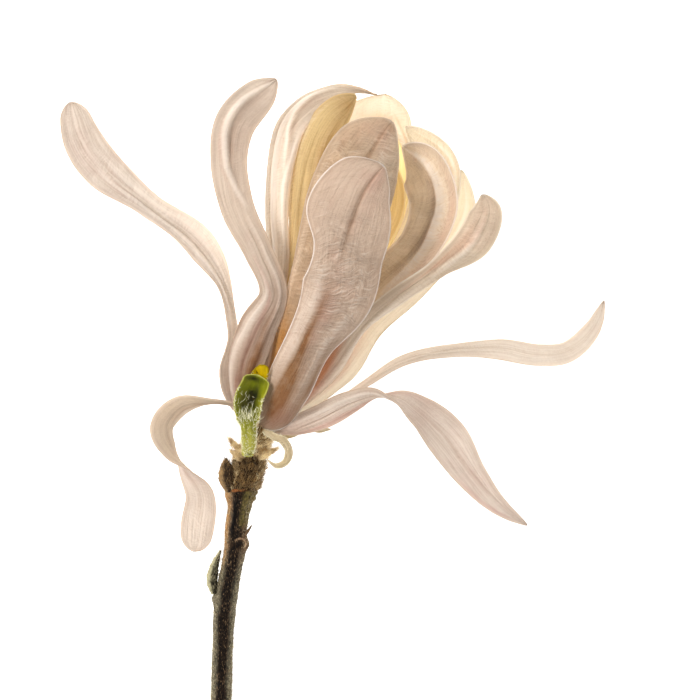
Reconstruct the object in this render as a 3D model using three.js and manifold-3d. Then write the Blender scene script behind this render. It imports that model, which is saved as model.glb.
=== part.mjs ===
// A cut flowering magnolia branch, lying on a flat surface and seen from above: a woody twig with
// two silky side buds, an unfolding leaf in its sheath, hairy bud scales and one large open flower
// of seventeen strap-shaped tepals round a small cone of stamens and carpels.
//
// Millimetres. X runs to the right and Y towards the flower's top as the branch is seen from above,
// and Z is up. The branch rests on the plane Z = 0, and the origin is under the middle of its box.
import * as THREE from 'three';
import Module from 'manifold-3d';
import { mergeVertices } from 'three/addons/utils/BufferGeometryUtils.js';

// ---- driving dimensions ------------------------------------------------------------------------
const BLADE_THICKNESS = 0.6;
const TEPAL_GRID = { steps: 16, halfColumns: 3 };
const SMALL_GRID = { steps: 8, halfColumns: 2 };
const SECTION_STEPS = 6;
const TIP_WIDTH_SHARE = 0.1;
const CLAW_HALF_WIDTH = 0.75;

// The flower's axis leans to the right and is level, at the height of the flower's middle.
const FLOWER_BASE = new THREE.Vector3(-14.2, -4.1, 18);
const FLOWER_AXIS = new THREE.Vector3(0.395, 0.918, 0).normalize();
const FLOWER_SIDE = new THREE.Vector3().crossVectors(FLOWER_AXIS, new THREE.Vector3(0, 0, 1));

// The tepals stand in four rows on the tapering receptacle: height up the axis and distance from it.
const TEPAL_ROWS = [
  { height: 0.8, radius: 3.4 },
  { height: 1.7, radius: 2.6 },
  { height: 2.6, radius: 1.9 },
  { height: 3.5, radius: 1.25 },
];
const CLAW_TO_RECEPTACLE = 0.5;

const STALK_RADIUS = 2.1;
const STALK_SIDES = 12;
const STALK_INTO_RECEPTACLE = 0.4;
const RECEPTACLE_FOOT = { radius: 1.9, height: -0.8 };
const COLUMN_RADIUS = 0.6;
const COLUMN_TOP = 4.3;

const TWIG_SIDES = 12;
const TWIG_STEPS = 24;
const BUD_SIDES = 8;
const BUD_STEPS = 8;
const SHEATH_STALK_STEPS = 6;

// The stamens grow from a short core on top of the receptacle's column, and the carpels from a slim
// cone above that. Heights are along the flower's axis, and the lean is in degrees.
const STAMEN_CORE = { bottom: COLUMN_TOP + 0.3, radius: 0.75, height: 1.6, sides: 10 };
const STAMENS = { count: 30, length: 2.8, radius: 0.26, lean: 16, from: 0.25, over: 1.0, foot: 0.62 };
const CARPEL_CORE = { bottom: COLUMN_TOP + 2.4, radius: 0.56, tip: 0.3, height: 5.0, sides: 10 };
const CARPELS = { count: 26, length: 1.3, radius: 0.3, tip: 0.08, from: 1.6, over: 3.0, foot: 0.35 };
const POINT_SIDES = 4;

// ---- paths -------------------------------------------------------------------------------------
// Woody and bud paths: [x, y, z, radius] from one end to the other.
const TWIG_PATH = [
  [-23.2, -65.8, 1.95, 2.1],
  [-23.1, -61.0, 2.0, 2.12],
  [-22.9, -55.0, 3.0, 2.1],
  [-22.6, -48.7, 4.3, 2.1],
  [-22.3, -42.1, 6.0, 2.25],
  [-21.5, -36.1, 8.0, 2.25],
  [-20.3, -30.1, 9.9, 2.2],
  [-19.7, -24.1, 11.6, 2.25],
  [-19.1, -20.1, 12.7, 2.35],
  [-18.6, -17.0, 13.5, 2.95],
  [-18.2, -15.4, 13.9, 3.0],
  [-17.4, -13.0, 14.6, 2.7],
  [-16.8, -10.6, 15.3, 2.75],
  [-16.5, -9.2, 15.7, 2.3],
];
const STALK_START = [-16.3, -8.6, 15.9];
const BUD_UPPER_PATH = [
  [-22.3, -16.4, 14.6, 0.7],
  [-22.4, -14.4, 14.9, 1.4],
  [-22.0, -12.2, 15.3, 1.5],
  [-21.6, -10.6, 15.6, 0.85],
  [-21.8, -9.3, 15.8, 0.25],
];
const BUD_LOWER_PATH = [
  [-24.5, -37.4, 8.2, 0.5],
  [-24.7, -35.2, 8.6, 1.1],
  [-24.0, -32.0, 9.4, 0.9],
  [-23.2, -29.9, 10.0, 0.45],
  [-22.8, -28.7, 10.4, 0.2],
];

// Blades: [x, y, z, half width to the left, half width to the right, roll, cup] from base to tip.
// Roll turns the blade about its midrib, and 0 faces up. Cup is how far each half bends, and a
// negative cup bends the margins down. Both are in degrees.
const SHEATH_BLADE = [
  [-16.9, -5.2, 21.6, 1.3, 1.3, 0, 60],
  [-16.8, -2.0, 23.3, 1.9, 1.9, 0, 70],
  [-16.7, 1.4, 25.4, 3.2, 3.2, 0, 65],
  [-16.2, 4.6, 27.2, 3.1, 3.1, 0, 60],
  [-15.0, 7.0, 28.4, 1.6, 1.6, 0, 40],
];
const SHEATH_STALK = [
  [-17.2, -9.0, 19.6, 1.2],
  [-17.0, -6.0, 21.0, 1.3],
  [-16.9, -3.0, 22.6, 1.1],
];
const YOUNG_LEAF_BLADE = [
  [-16.6, 1.6, 26.6, 0.7, 0.7, 0, 45],
  [-16.0, 4.6, 28.4, 1.4, 1.4, 0, 50],
  [-15.0, 7.2, 29.6, 1.8, 1.8, 0, 50],
  [-13.9, 8.9, 30.2, 0.9, 0.9, 0, 40],
];
const SMALL_BLADES = {
  bud_scale_upper_left: [
    [-19.4, -7.6, 17.4, 0.7, 0.7, -20, -40],
    [-20.2, -6.9, 17.9, 0.7, 0.7, -20, -30],
    [-21.3, -6.1, 18.2, 0.3, 0.3, -20, -20],
  ],
  bud_scale_lower_left: [
    [-19.7, -9.7, 16.8, 0.7, 0.7, -20, -40],
    [-20.4, -9.0, 17.2, 0.6, 0.6, -20, -30],
    [-20.9, -8.5, 17.5, 0.3, 0.3, -20, -20],
  ],
  bud_scale_right: [
    [-13.6, -9.8, 17.2, 0.8, 0.8, 20, -30],
    [-12.4, -9.0, 17.6, 0.8, 0.8, 20, -30],
    [-11.1, -8.3, 17.8, 0.3, 0.3, 10, -20],
  ],
  curled_bract: [
    [-12.9, -4.9, 21.6, 0.5, 0.5, 0, -20],
    [-11.3, -5.3, 22.4, 0.7, 0.7, 0, -25],
    [-9.6, -6.3, 23.0, 0.8, 0.8, 0, -25],
    [-8.9, -8.2, 23.0, 0.8, 0.8, 0, -25],
    [-9.9, -10.4, 22.6, 0.7, 0.7, 0, -25],
    [-11.6, -11.0, 22.0, 0.6, 0.6, 0, -20],
    [-13.0, -10.0, 21.4, 0.3, 0.3, 0, -10],
  ],
  bract_behind: [
    [-11.2, -5.6, 15.2, 0.6, 0.6, 10, 20],
    [-7.6, -5.7, 15.8, 0.7, 0.7, 10, 20],
    [-4.2, -5.5, 16.2, 0.7, 0.7, 10, 20],
    [-0.8, -4.7, 16.4, 0.3, 0.3, 10, 10],
  ],
};

// Tepals. row and angle give the seat on the receptacle, where 0 is the right side, 90 the side
// nearest the viewer and 180 the left side. face says whether the upper side of the stations looks
// out of the flower or into it. The stations go on from the seat to the tip.
const TEPALS = {
  tepal_front: {
    row: 0, angle: 100, face: 'out', tip: 0.06,
    stations: [
      [-12.8, -1.2, 24.0, 2.6, 2.6, 0, -50],
      [-9.7, 2.8, 29.0, 4.4, 4.6, 0, -60],
      [-4.4, 12.9, 33.0, 4.9, 5.0, 0, -48],
      [0.9, 23.7, 35.0, 7.6, 7.8, 2, -32],
      [1.9, 31.5, 35.8, 6.0, 8.4, 2, -24],
      [3.3, 36.4, 36.1, 9.4, 8.2, 3, -18],
      [6.2, 43.3, 36.0, 8.4, 5.8, 4, -14],
      [8.2, 46.0, 35.5, 6.5, 4.0, 4, -12],
      [10.0, 48.0, 34.9, 4.0, 2.0, 4, -10],
    ],
  },
  tepal_upper_front: {
    row: 1, angle: 96, face: 'out', tip: 0.1,
    stations: [
      [-12.6, 1.6, 23.0, 1.8, 1.8, 2, -40],
      [-9.2, 9.9, 26.8, 3.6, 3.9, 4, -60],
      [-5.4, 21.8, 29.2, 5.0, 5.3, 2, -55],
      [-0.6, 33.6, 30.5, 7.0, 8.3, 0, -45],
      [3.3, 43.5, 30.3, 8.4, 9.2, -2, -35],
      [6.9, 50.5, 28.9, 8.0, 7.6, -2, -28],
      [11.6, 57.2, 26.2, 5.0, 3.2, 0, -22],
    ],
  },
  tepal_left_upright: {
    row: 1, angle: 140, face: 'out', tip: 0.06,
    stations: [
      [-17.6, 0.8, 22.0, 2.0, 2.0, 45, -35],
      [-18.3, 7.9, 25.4, 4.0, 4.0, 35, -50],
      [-15.4, 15.9, 27.4, 4.2, 4.2, 20, -40],
      [-12.0, 22.6, 28.4, 2.95, 2.95, 8, -30],
      [-15.0, 31.6, 28.2, 3.0, 2.9, 2, -18],
      [-19.2, 40.6, 27.0, 3.4, 3.4, 0, 10],
      [-20.6, 49.6, 25.5, 3.75, 3.75, 0, 25],
      [-19.2, 57.7, 24.0, 4.2, 4.3, 0, 30],
      [-15.0, 62.5, 22.5, 3.5, 3.6, 0, 25],
      [-12.0, 65.5, 21.4, 1.6, 2.0, 0, 15],
    ],
  },
  tepal_left_droop: {
    row: 0, angle: 172, face: 'out', tip: 0.06,
    stations: [
      [-19.8, 0.6, 19.6, 1.3, 1.3, 75, -15],
      [-24.7, 1.5, 20.6, 1.5, 1.5, 62, -12],
      [-30.3, 1.1, 19.5, 2.6, 2.4, 45, -12],
      [-34.3, -3.2, 16.5, 2.7, 2.7, 25, -12],
      [-33.0, -8.1, 12.5, 2.5, 2.5, 55, -12],
      [-29.9, -12.4, 9.5, 2.6, 2.6, 120, -10],
      [-27.2, -17.6, 7.0, 3.0, 3.0, 165, -12],
      [-27.7, -23.8, 5.2, 3.5, 3.4, 180, -14],
      [-28.4, -29.2, 4.1, 2.7, 2.6, 183, -12],
    ],
  },
  tepal_far_left: {
    row: 0, angle: 214, face: 'in', tip: 0.04,
    stations: [
      [-20.0, 0.6, 14.8, 1.5, 1.5, -60, 10],
      [-21.7, 7.5, 13.4, 2.0, 2.0, -60, 0],
      [-20.5, 15.5, 12.0, 1.8, 1.8, -70, 0],
      [-22.1, 24.3, 9.5, 1.9, 1.9, -40, 5],
      [-27.5, 32.6, 6.5, 2.8, 3.3, -20, 12],
      [-38.1, 40.9, 4.0, 2.3, 2.3, -10, 15],
      [-47.4, 48.3, 2.2, 3.6, 3.5, 0, 12],
      [-51.8, 54.3, 1.2, 3.5, 4.0, 0, 10],
      [-54.0, 62.7, 0.3, 2.0, 2.3, 0, 8],
    ],
  },
  tepal_right_spread: {
    row: 0, angle: -36, face: 'in', tip: 0.05,
    stations: [
      [-6.6, -2.6, 13.9, 1.3, 1.3, 50, 0],
      [1.0, 1.4, 11.6, 1.4, 1.4, 62, 0],
      [5.9, 4.7, 10.3, 1.4, 1.4, 70, 0],
      [13.5, 9.5, 8.2, 1.7, 1.7, 50, -10],
      [24.7, 11.9, 5.8, 1.6, 1.6, 45, -15],
      [33.9, 12.4, 4.2, 2.3, 2.3, 30, -15],
      [42.1, 10.9, 2.7, 2.2, 2.2, 15, -10],
      [47.3, 11.5, 1.7, 2.0, 2.0, 5, -8],
      [52.3, 15.6, 1.0, 1.7, 1.7, -8, -8],
      [55.4, 22.0, 0.3, 0.6, 0.6, -8, 0],
    ],
  },
  tepal_right_droop: {
    row: 0, angle: 52, face: 'out', tip: 0.05,
    stations: [
      [-8.6, -3.9, 22.4, 1.7, 1.5, -20, -20],
      [-2.6, -1.6, 24.0, 2.5, 2.4, 0, -20],
      [2.9, 1.2, 24.0, 2.5, 2.5, -20, -20],
      [7.8, 2.8, 22.5, 1.9, 1.9, -40, -15],
      [11.0, 2.2, 20.7, 1.8, 1.8, -75, -10],
      [16.8, -0.4, 17.5, 3.3, 3.4, -140, -10],
      [22.5, -6.4, 13.5, 4.3, 4.4, -160, -10],
      [28.3, -13.7, 9.5, 3.0, 2.9, -170, -10],
      [33.8, -19.7, 6.5, 1.7, 1.6, -175, -8],
      [39.4, -23.8, 4.5, 0.5, 0.5, -175, 0],
    ],
  },
  tepal_upper_left: {
    row: 2, angle: 172, face: 'out', tip: 0.05,
    stations: [
      [-15.8, 3.4, 18.4, 1.5, 1.5, 74, -30],
      [-14.6, 9.9, 19.2, 2.4, 2.0, 68, -40],
      [-13.0, 19.9, 20.2, 3.2, 2.4, 60, -45],
      [-12.1, 29.9, 20.6, 3.4, 2.8, 52, -45],
      [-12.5, 39.9, 20.6, 3.4, 3.1, 50, -42],
      [-11.7, 49.9, 20.2, 3.4, 3.4, 48, -40],
      [-9.3, 57.9, 19.2, 3.0, 3.0, 42, -35],
      [-5.5, 61.9, 18.0, 2.4, 2.4, 35, -30],
      [-0.7, 63.9, 16.5, 1.7, 1.7, 25, -20],
      [3.7, 64.3, 15.2, 0.9, 0.9, -10, 0],
      [8.7, 63.3, 14.0, 0.5, 0.5, -60, 0],
    ],
  },
  tepal_inner_left: {
    row: 3, angle: 140, face: 'out', tip: 0.06,
    stations: [
      [-13.2, 3.2, 19.8, 1.3, 1.3, 46, -30],
      [-10.7, 11.9, 20.9, 2.4, 2.6, 40, -50],
      [-8.3, 23.8, 22.5, 3.0, 4.0, 34, -52],
      [-7.2, 33.8, 23.2, 3.2, 4.6, 28, -50],
      [-6.4, 43.7, 23.2, 3.8, 5.0, 24, -48],
      [-4.2, 52.7, 22.6, 4.3, 4.8, 18, -42],
      [-0.7, 58.8, 21.5, 3.4, 4.2, 10, -36],
      [4.5, 62.8, 19.8, 1.6, 1.6, 0, -25],
    ],
  },
  tepal_back: {
    row: 0, angle: 262, face: 'in', tip: 0.12,
    stations: [
      [-12.2, 0.2, 11.4, 2.2, 2.2, 0, 40],
      [-6.9, 11.9, 6.0, 5.0, 5.0, 0, 50],
      [-0.8, 26.2, 1.8, 6.8, 6.8, 0, 45],
      [5.3, 40.5, -0.4, 7.8, 7.8, 0, 45],
      [8.8, 52.9, 2.0, 8.4, 7.8, 0, 40],
      [10.4, 62.4, 7.0, 7.2, 5.4, 0, 35],
    ],
  },
  tepal_right_crescent: {
    row: 2, angle: 34, face: 'out', tip: 0.1,
    stations: [
      [-9.8, 1.9, 19.8, 1.6, 1.6, -40, -20],
      [-1.7, 11.9, 21.4, 3.2, 3.2, -10, 0],
      [8.1, 24.2, 22.4, 4.0, 4.2, 10, 20],
      [18.0, 33.8, 22.4, 4.6, 5.6, 25, 40],
      [21.3, 41.3, 22.4, 6.9, 5.8, 35, 45],
      [18.8, 48.6, 21.6, 6.1, 5.0, 35, 45],
      [13.9, 52.3, 20.2, 2.5, 2.5, 25, 30],
    ],
  },
  tepal_right_back: {
    row: 2, angle: -70, face: 'in', tip: 0.1,
    stations: [
      [-9.6, 2.6, 14.2, 1.8, 1.8, 25, 30],
      [1.3, 14.9, 11.0, 4.0, 4.0, 32, 50],
      [13.4, 27.1, 9.5, 5.5, 5.5, 30, 45],
      [19.9, 39.2, 10.0, 5.8, 5.8, 25, 45],
      [21.5, 48.7, 12.0, 5.2, 5.2, 30, 45],
      [14.2, 56.8, 14.5, 2.2, 2.2, 30, 35],
    ],
  },
  tepal_far_right_back: {
    row: 1, angle: -62, face: 'in', tip: 0.14,
    stations: [
      [-6.8, 1.6, 12.6, 1.9, 1.9, 30, 40],
      [2.3, 12.9, 8.2, 3.4, 3.4, 25, 40],
      [10.5, 21.9, 5.8, 4.0, 4.0, 22, 38],
      [18.6, 31.4, 5.0, 4.8, 4.8, 20, 35],
      [24.6, 41.6, 5.6, 5.2, 5.6, 20, 35],
      [26.0, 48.9, 8.2, 2.0, 2.0, 15, 30],
    ],
  },
  tepal_right_hook: {
    row: 1, angle: 42, face: 'out', tip: 0.05,
    stations: [
      [-7.6, 0.6, 22.6, 1.8, 1.8, -40, -20],
      [0.1, 8.9, 25.0, 3.2, 3.2, -40, -40],
      [5.5, 16.3, 26.4, 2.4, 2.4, -45, -30],
      [12.6, 22.6, 27.2, 2.0, 2.0, -40, -20],
      [20.7, 28.2, 28.0, 2.6, 2.4, -20, -20],
      [27.8, 34.5, 28.5, 4.4, 4.4, 0, -25],
      [30.2, 39.6, 28.0, 3.6, 3.6, 5, -25],
      [29.8, 42.6, 27.5, 1.8, 2.4, 10, -10],
    ],
  },
  tepal_right_lower: {
    row: 2, angle: -18, face: 'in', tip: 0.14,
    stations: [
      [-7.0, 0.2, 17.6, 1.6, 1.6, 70, 20],
      [1.7, 6.9, 17.6, 3.0, 3.0, 65, 20],
      [8.5, 15.9, 17.4, 3.2, 3.4, 60, 30],
      [17.3, 23.9, 17.2, 3.2, 3.2, 55, 35],
      [24.3, 30.5, 17.0, 2.0, 2.0, 50, 30],
    ],
  },
  tepal_inner_right: {
    row: 3, angle: -80, face: 'in', tip: 0.12,
    stations: [
      [-11.0, 3.4, 15.4, 1.5, 1.5, 10, 30],
      [-2.8, 18.0, 12.6, 4.0, 4.0, 10, 45],
      [5.7, 34.1, 11.2, 5.2, 5.2, 10, 40],
      [10.4, 47.2, 11.8, 5.2, 5.2, 10, 38],
      [9.6, 59.6, 14.0, 3.4, 3.2, 10, 30],
    ],
  },
  tepal_inner_heart: {
    row: 3, angle: 60, face: 'out', tip: 0.12,
    stations: [
      [-10.3, 4.9, 20.2, 1.0, 1.0, -8, -20],
      [-3.2, 17.9, 19.4, 3.4, 3.4, -15, -45],
      [6.0, 31.8, 18.4, 4.6, 4.6, 0, -40],
      [11.3, 40.8, 18.2, 4.2, 4.2, 10, -35],
      [11.3, 49.9, 17.6, 2.0, 2.0, 10, -20],
    ],
  },
};

// ---- materials ---------------------------------------------------------------------------------
const COLOURS = {
  tepal: 0xe6d5c3,
  tepal_inner: 0xf0d79c,
  bark: 0x4a382b,
  stalk: 0x7d7046,
  bud: 0x6f604c,
  sheath: 0xa3a86a,
  leaf: 0xb6b53c,
  scale: 0xa08a5c,
  bract: 0xc9c79a,
  stamen: 0xead9a4,
  carpel: 0x9fa75c,
};

function finish(colour, roughness) {
  return new THREE.MeshStandardMaterial({ color: colour, roughness, metalness: 0 });
}

// ---- small helpers -----------------------------------------------------------------------------
const UP = new THREE.Vector3(0, 0, 1);

// The slope of the stations' numbers at each station, for a smooth curve through them all.
function stationSlopes(rows, spans) {
  const last = rows.length - 1;
  const steps = spans.map((span, i) => rows[i].map((value, k) => (rows[i + 1][k] - value) / span));
  const slopes = rows.map((row, i) => {
    if (i === 0 || i === last) return null;
    const total = spans[i - 1] + spans[i];
    return row.map((_, k) => (steps[i - 1][k] * spans[i] + steps[i][k] * spans[i - 1]) / total);
  });
  slopes[0] = slopes[1].map((value, k) => 1.5 * steps[0][k] - 0.5 * value);
  slopes[last] = slopes[last - 1].map((value, k) => 1.5 * steps[last - 1][k] - 0.5 * value);
  return slopes;
}

// A function of s, 0 to 1 along the stations, that passes smoothly through every station.
function smoothStations(rows) {
  const at = rows.map((row) => new THREE.Vector3(row[0], row[1], row[2]));
  const lengths = at.slice(1).map((point, i) => point.distanceTo(at[i]));
  const total = lengths.reduce((sum, length) => sum + length, 0);
  const spans = lengths.map((length) => length / total);
  const slopes = stationSlopes(rows, spans);
  return (s) => {
    let i = 0;
    let start = 0;
    while (i < spans.length - 1 && s > start + spans[i]) {
      start += spans[i];
      i += 1;
    }
    const h = spans[i];
    const u = (s - start) / h;
    const a = (1 + 2 * u) * (1 - u) ** 2;
    const b = u * (1 - u) ** 2 * h;
    const c = u * u * (3 - 2 * u);
    const d = u * u * (u - 1) * h;
    return rows[i].map((value, k) => (
      a * value + b * slopes[i][k] + c * rows[i + 1][k] + d * slopes[i + 1][k]));
  };
}

// The path's direction at s, and the two directions across it: side, and the one nearest to up.
function frameAt(curve, s) {
  const before = curve(Math.max(s - 1e-4, 0));
  const after = curve(Math.min(s + 1e-4, 1));
  const along = new THREE.Vector3(
    after[0] - before[0], after[1] - before[1], after[2] - before[2]).normalize();
  const lift = UP.clone().addScaledVector(along, -UP.dot(along)).normalize();
  const side = new THREE.Vector3().crossVectors(along, lift);
  return { along, lift, side };
}

function geometryFrom(points, triangles) {
  const geometry = new THREE.BufferGeometry();
  const flat = points.flatMap((point) => [point.x, point.y, point.z]);
  geometry.setAttribute('position', new THREE.Float32BufferAttribute(flat, 3));
  geometry.setIndex(triangles.flat());
  return geometry;
}

// ---- blades ------------------------------------------------------------------------------------
// Points of one half of a blade's section, from the midrib out: the direction turns evenly from the
// midrib's to the margin's, and each short step goes along the direction in its middle.
function halfSection(centre, frame, halfWidth, { roll, cup, sign, columns }) {
  const count = columns * SECTION_STEPS;
  const step = halfWidth / count;
  const point = centre.clone();
  const points = [];
  for (let i = 0; i < count; i += 1) {
    const turn = roll + (sign * cup * (i + 0.5)) / count;
    point.addScaledVector(frame.side, sign * step * Math.cos(turn));
    point.addScaledVector(frame.lift, sign * step * Math.sin(turn));
    if ((i + 1) % SECTION_STEPS === 0) points.push(point.clone());
  }
  return points;
}

// The blade's middle surface as rows of points from base to tip, each from left to right margin.
function bladeRows(stations, tipShare, { steps, halfColumns }) {
  const curve = smoothStations(stations);
  const rows = [];
  for (let i = 0; i <= steps; i += 1) {
    const t = i / steps;
    const s = 0.5 * t + 0.25 * (1 - Math.cos(Math.PI * t));
    const [x, y, z, left, right, rollDegrees, cupDegrees] = curve(s);
    const beyond = Math.max(0, (s - (1 - tipShare)) / tipShare);
    const rounding = Math.sqrt(Math.max(1 - beyond * beyond, TIP_WIDTH_SHARE ** 2));
    const roll = THREE.MathUtils.degToRad(rollDegrees);
    const cup = THREE.MathUtils.degToRad(cupDegrees);
    const frame = frameAt(curve, s);
    const centre = new THREE.Vector3(x, y, z);
    const bend = { roll, cup, columns: halfColumns };
    const toLeft = halfSection(centre, frame, left * rounding, { ...bend, sign: -1 });
    const toRight = halfSection(centre, frame, right * rounding, { ...bend, sign: 1 });
    rows.push([...toLeft.reverse(), centre, ...toRight]);
  }
  return rows;
}

// The surface's own direction at each point, from its neighbours along and across the blade.
function rowNormals(rows) {
  const last = rows.length - 1;
  return rows.map((row, i) => row.map((_, j) => {
    const next = rows[Math.min(i + 1, last)][j];
    const previous = rows[Math.max(i - 1, 0)][j];
    const right = row[Math.min(j + 1, row.length - 1)];
    const left = row[Math.max(j - 1, 0)];
    const along = next.clone().sub(previous);
    const across = right.clone().sub(left);
    return across.cross(along).normalize();
  }));
}

// A closed blade of even thickness: both faces are split alike, and a rim joins them. What would
// dip below the surface that the branch rests on lies flat on it.
function bladeGeometry(stations, tipShare, grid) {
  const rows = bladeRows(stations, tipShare, grid);
  const normals = rowNormals(rows);
  const columns = rows[0].length;
  const upper = [];
  const lower = [];
  rows.forEach((row, i) => row.forEach((point, j) => {
    const above = point.clone().addScaledVector(normals[i][j], BLADE_THICKNESS / 2);
    const below = point.clone().addScaledVector(normals[i][j], -BLADE_THICKNESS / 2);
    const [high, low] = above.z >= below.z ? [above, below] : [below, above];
    low.z = Math.max(low.z, 0);
    high.z = Math.max(high.z, BLADE_THICKNESS);
    upper.push(above);
    lower.push(below);
  }));
  const count = upper.length;
  const triangles = [];
  for (let i = 0; i < rows.length - 1; i += 1) {
    for (let j = 0; j < columns - 1; j += 1) {
      const a = i * columns + j;
      const b = a + 1;
      const c = b + columns;
      const d = a + columns;
      triangles.push([a, b, c], [a, c, d]);
      triangles.push([count + a, count + c, count + b], [count + a, count + d, count + c]);
    }
  }
  const rim = [];
  for (let j = 0; j < columns; j += 1) rim.push(j);
  for (let i = 1; i < rows.length; i += 1) rim.push(i * columns + columns - 1);
  for (let j = columns - 2; j >= 0; j -= 1) rim.push((rows.length - 1) * columns + j);
  for (let i = rows.length - 2; i > 0; i -= 1) rim.push(i * columns);
  rim.forEach((a, k) => {
    const b = rim[(k + 1) % rim.length];
    triangles.push([a, count + a, count + b], [a, count + b, b]);
  });
  return geometryFrom([...upper, ...lower], triangles);
}

// The seat of a tepal on the receptacle, as the first station of its blade.
function seatStation({ row, angle, face }) {
  const { height, radius } = TEPAL_ROWS[row];
  const turn = THREE.MathUtils.degToRad(angle);
  const seat = FLOWER_BASE.clone()
    .addScaledVector(FLOWER_AXIS, height)
    .addScaledVector(FLOWER_SIDE, radius * Math.cos(turn))
    .addScaledVector(UP, radius * Math.sin(turn));
  let roll = face === 'out' ? angle - 90 : angle + 90;
  if (roll > 180) roll -= 360;
  return [seat.x, seat.y, seat.z, CLAW_HALF_WIDTH, CLAW_HALF_WIDTH, roll, 0];
}

// ---- round lofts -------------------------------------------------------------------------------
// A closed round body along [x, y, z, radius] stations, with a fan at each end. No point goes below
// the surface that the branch rests on.
function loftGeometry(stations, sides, steps) {
  const curve = smoothStations(stations);
  const points = [];
  for (let i = 0; i <= steps; i += 1) {
    const s = i / steps;
    const [x, y, z, radius] = curve(s);
    const { lift, side } = frameAt(curve, s);
    for (let k = 0; k < sides; k += 1) {
      const turn = (2 * Math.PI * (k + 0.5)) / sides;
      const point = new THREE.Vector3(x, y, z)
        .addScaledVector(side, radius * Math.sin(turn))
        .addScaledVector(lift, -radius * Math.cos(turn));
      point.z = Math.max(point.z, 0);
      points.push(point);
    }
  }
  const triangles = [];
  for (let i = 0; i < steps; i += 1) {
    for (let k = 0; k < sides; k += 1) {
      const a = i * sides + k;
      const b = i * sides + ((k + 1) % sides);
      triangles.push([a, b + sides, b], [a, a + sides, b + sides]);
    }
  }
  const start = points.length;
  const first = curve(0);
  const end = curve(1);
  points.push(new THREE.Vector3(first[0], first[1], first[2]));
  points.push(new THREE.Vector3(end[0], end[1], end[2]));
  for (let k = 0; k < sides; k += 1) {
    const next = (k + 1) % sides;
    triangles.push([start, k, next]);
    triangles.push([start + 1, steps * sides + next, steps * sides + k]);
  }
  return geometryFrom(points, triangles);
}

// ---- joining solids ----------------------------------------------------------------------------
const wasm = await Module();
wasm.setup();

function toSolid(geometry) {
  const plain = geometry.clone();
  plain.deleteAttribute('normal');
  plain.deleteAttribute('uv');
  const merged = mergeVertices(plain);
  return new wasm.Manifold(new wasm.Mesh({
    numProp: 3,
    vertProperties: new Float32Array(merged.attributes.position.array),
    triVerts: new Uint32Array(merged.index.array),
  }));
}

function joined(geometries) {
  const solid = geometries.map(toSolid).reduce((whole, piece) => whole.add(piece));
  const mesh = solid.getMesh();
  const geometry = new THREE.BufferGeometry();
  const positions = new THREE.Float32BufferAttribute(mesh.vertProperties, mesh.numProp);
  geometry.setAttribute('position', positions);
  geometry.setIndex(Array.from(mesh.triVerts));
  return geometry;
}

// A turned body about the flower's axis, placed with its height 0 at the flower's base.
function onFlowerAxis(geometry) {
  const turn = new THREE.Quaternion().setFromUnitVectors(new THREE.Vector3(0, 1, 0), FLOWER_AXIS);
  return geometry.applyQuaternion(turn).translate(FLOWER_BASE.x, FLOWER_BASE.y, FLOWER_BASE.z);
}

// A cut-off cone from a point along a direction.
function spike(from, direction, { length, radius, tip, sides }) {
  const geometry = new THREE.CylinderGeometry(tip, radius, length, sides);
  const turn = new THREE.Quaternion()
    .setFromUnitVectors(new THREE.Vector3(0, 1, 0), direction.clone().normalize());
  geometry.translate(0, length / 2, 0).applyQuaternion(turn);
  return geometry.translate(from.x, from.y, from.z);
}

// ---- the pieces --------------------------------------------------------------------------------
const SPUR = {
  base: new THREE.Vector3(-17.9, -25.0, 11.6),
  direction: new THREE.Vector3(0.8, 0.75, 0.25),
  length: 1.9,
  radius: 0.45,
  tip: 0.15,
  sides: 6,
};
const SCAR_SPOTS = [
  { at: [-24.0, -38.6, 7.4], size: 0.95 },
  { at: [-21.2, -17.6, 13.6], size: 1.1 },
  { at: [-17.6, -27.6, 10.9], size: 0.95 },
];

// The twig: a tapering stem with a swollen ring at its last node, leaf-scar swellings and a spur.
function twigGeometry() {
  const stem = loftGeometry(TWIG_PATH, TWIG_SIDES, TWIG_STEPS);
  const scars = SCAR_SPOTS.map(({ at, size }) => (
    new THREE.IcosahedronGeometry(size, 1).translate(...at)));
  const spur = spike(SPUR.base, SPUR.direction, SPUR);
  return joined([stem, ...scars, spur]);
}

// The flower's stalk, which widens into the tapering receptacle that carries the tepals.
function stalkGeometry() {
  const start = new THREE.Vector3(...STALK_START);
  const direction = FLOWER_BASE.clone().sub(start);
  const length = direction.length() + STALK_INTO_RECEPTACLE;
  const round = { length, radius: STALK_RADIUS, tip: STALK_RADIUS, sides: STALK_SIDES };
  const stalk = spike(start, direction, round);
  const foot = RECEPTACLE_FOOT;
  const profile = [new THREE.Vector2(0, foot.height), new THREE.Vector2(foot.radius, foot.height)];
  TEPAL_ROWS.forEach(({ height, radius }) => {
    profile.push(new THREE.Vector2(radius - CLAW_TO_RECEPTACLE, height));
  });
  profile.push(new THREE.Vector2(COLUMN_RADIUS, COLUMN_TOP), new THREE.Vector2(0, COLUMN_TOP));
  const receptacle = onFlowerAxis(new THREE.LatheGeometry(profile, STALK_SIDES));
  return joined([stalk, receptacle]);
}

const GOLDEN_ANGLE = Math.PI * (3 - Math.sqrt(5));

// A core about the flower's axis, from its bottom up, in the flower's own frame with Y along it.
function coreGeometry({ bottom, radius, tip = radius, height, sides }) {
  const geometry = new THREE.CylinderGeometry(tip, radius, height, sides);
  return geometry.translate(0, bottom + height / 2, 0);
}

// The direction away from the axis of point number i of a spiral.
function spiralOut(i) {
  const turn = i * GOLDEN_ANGLE;
  return new THREE.Vector3(Math.cos(turn), 0, Math.sin(turn));
}

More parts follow.
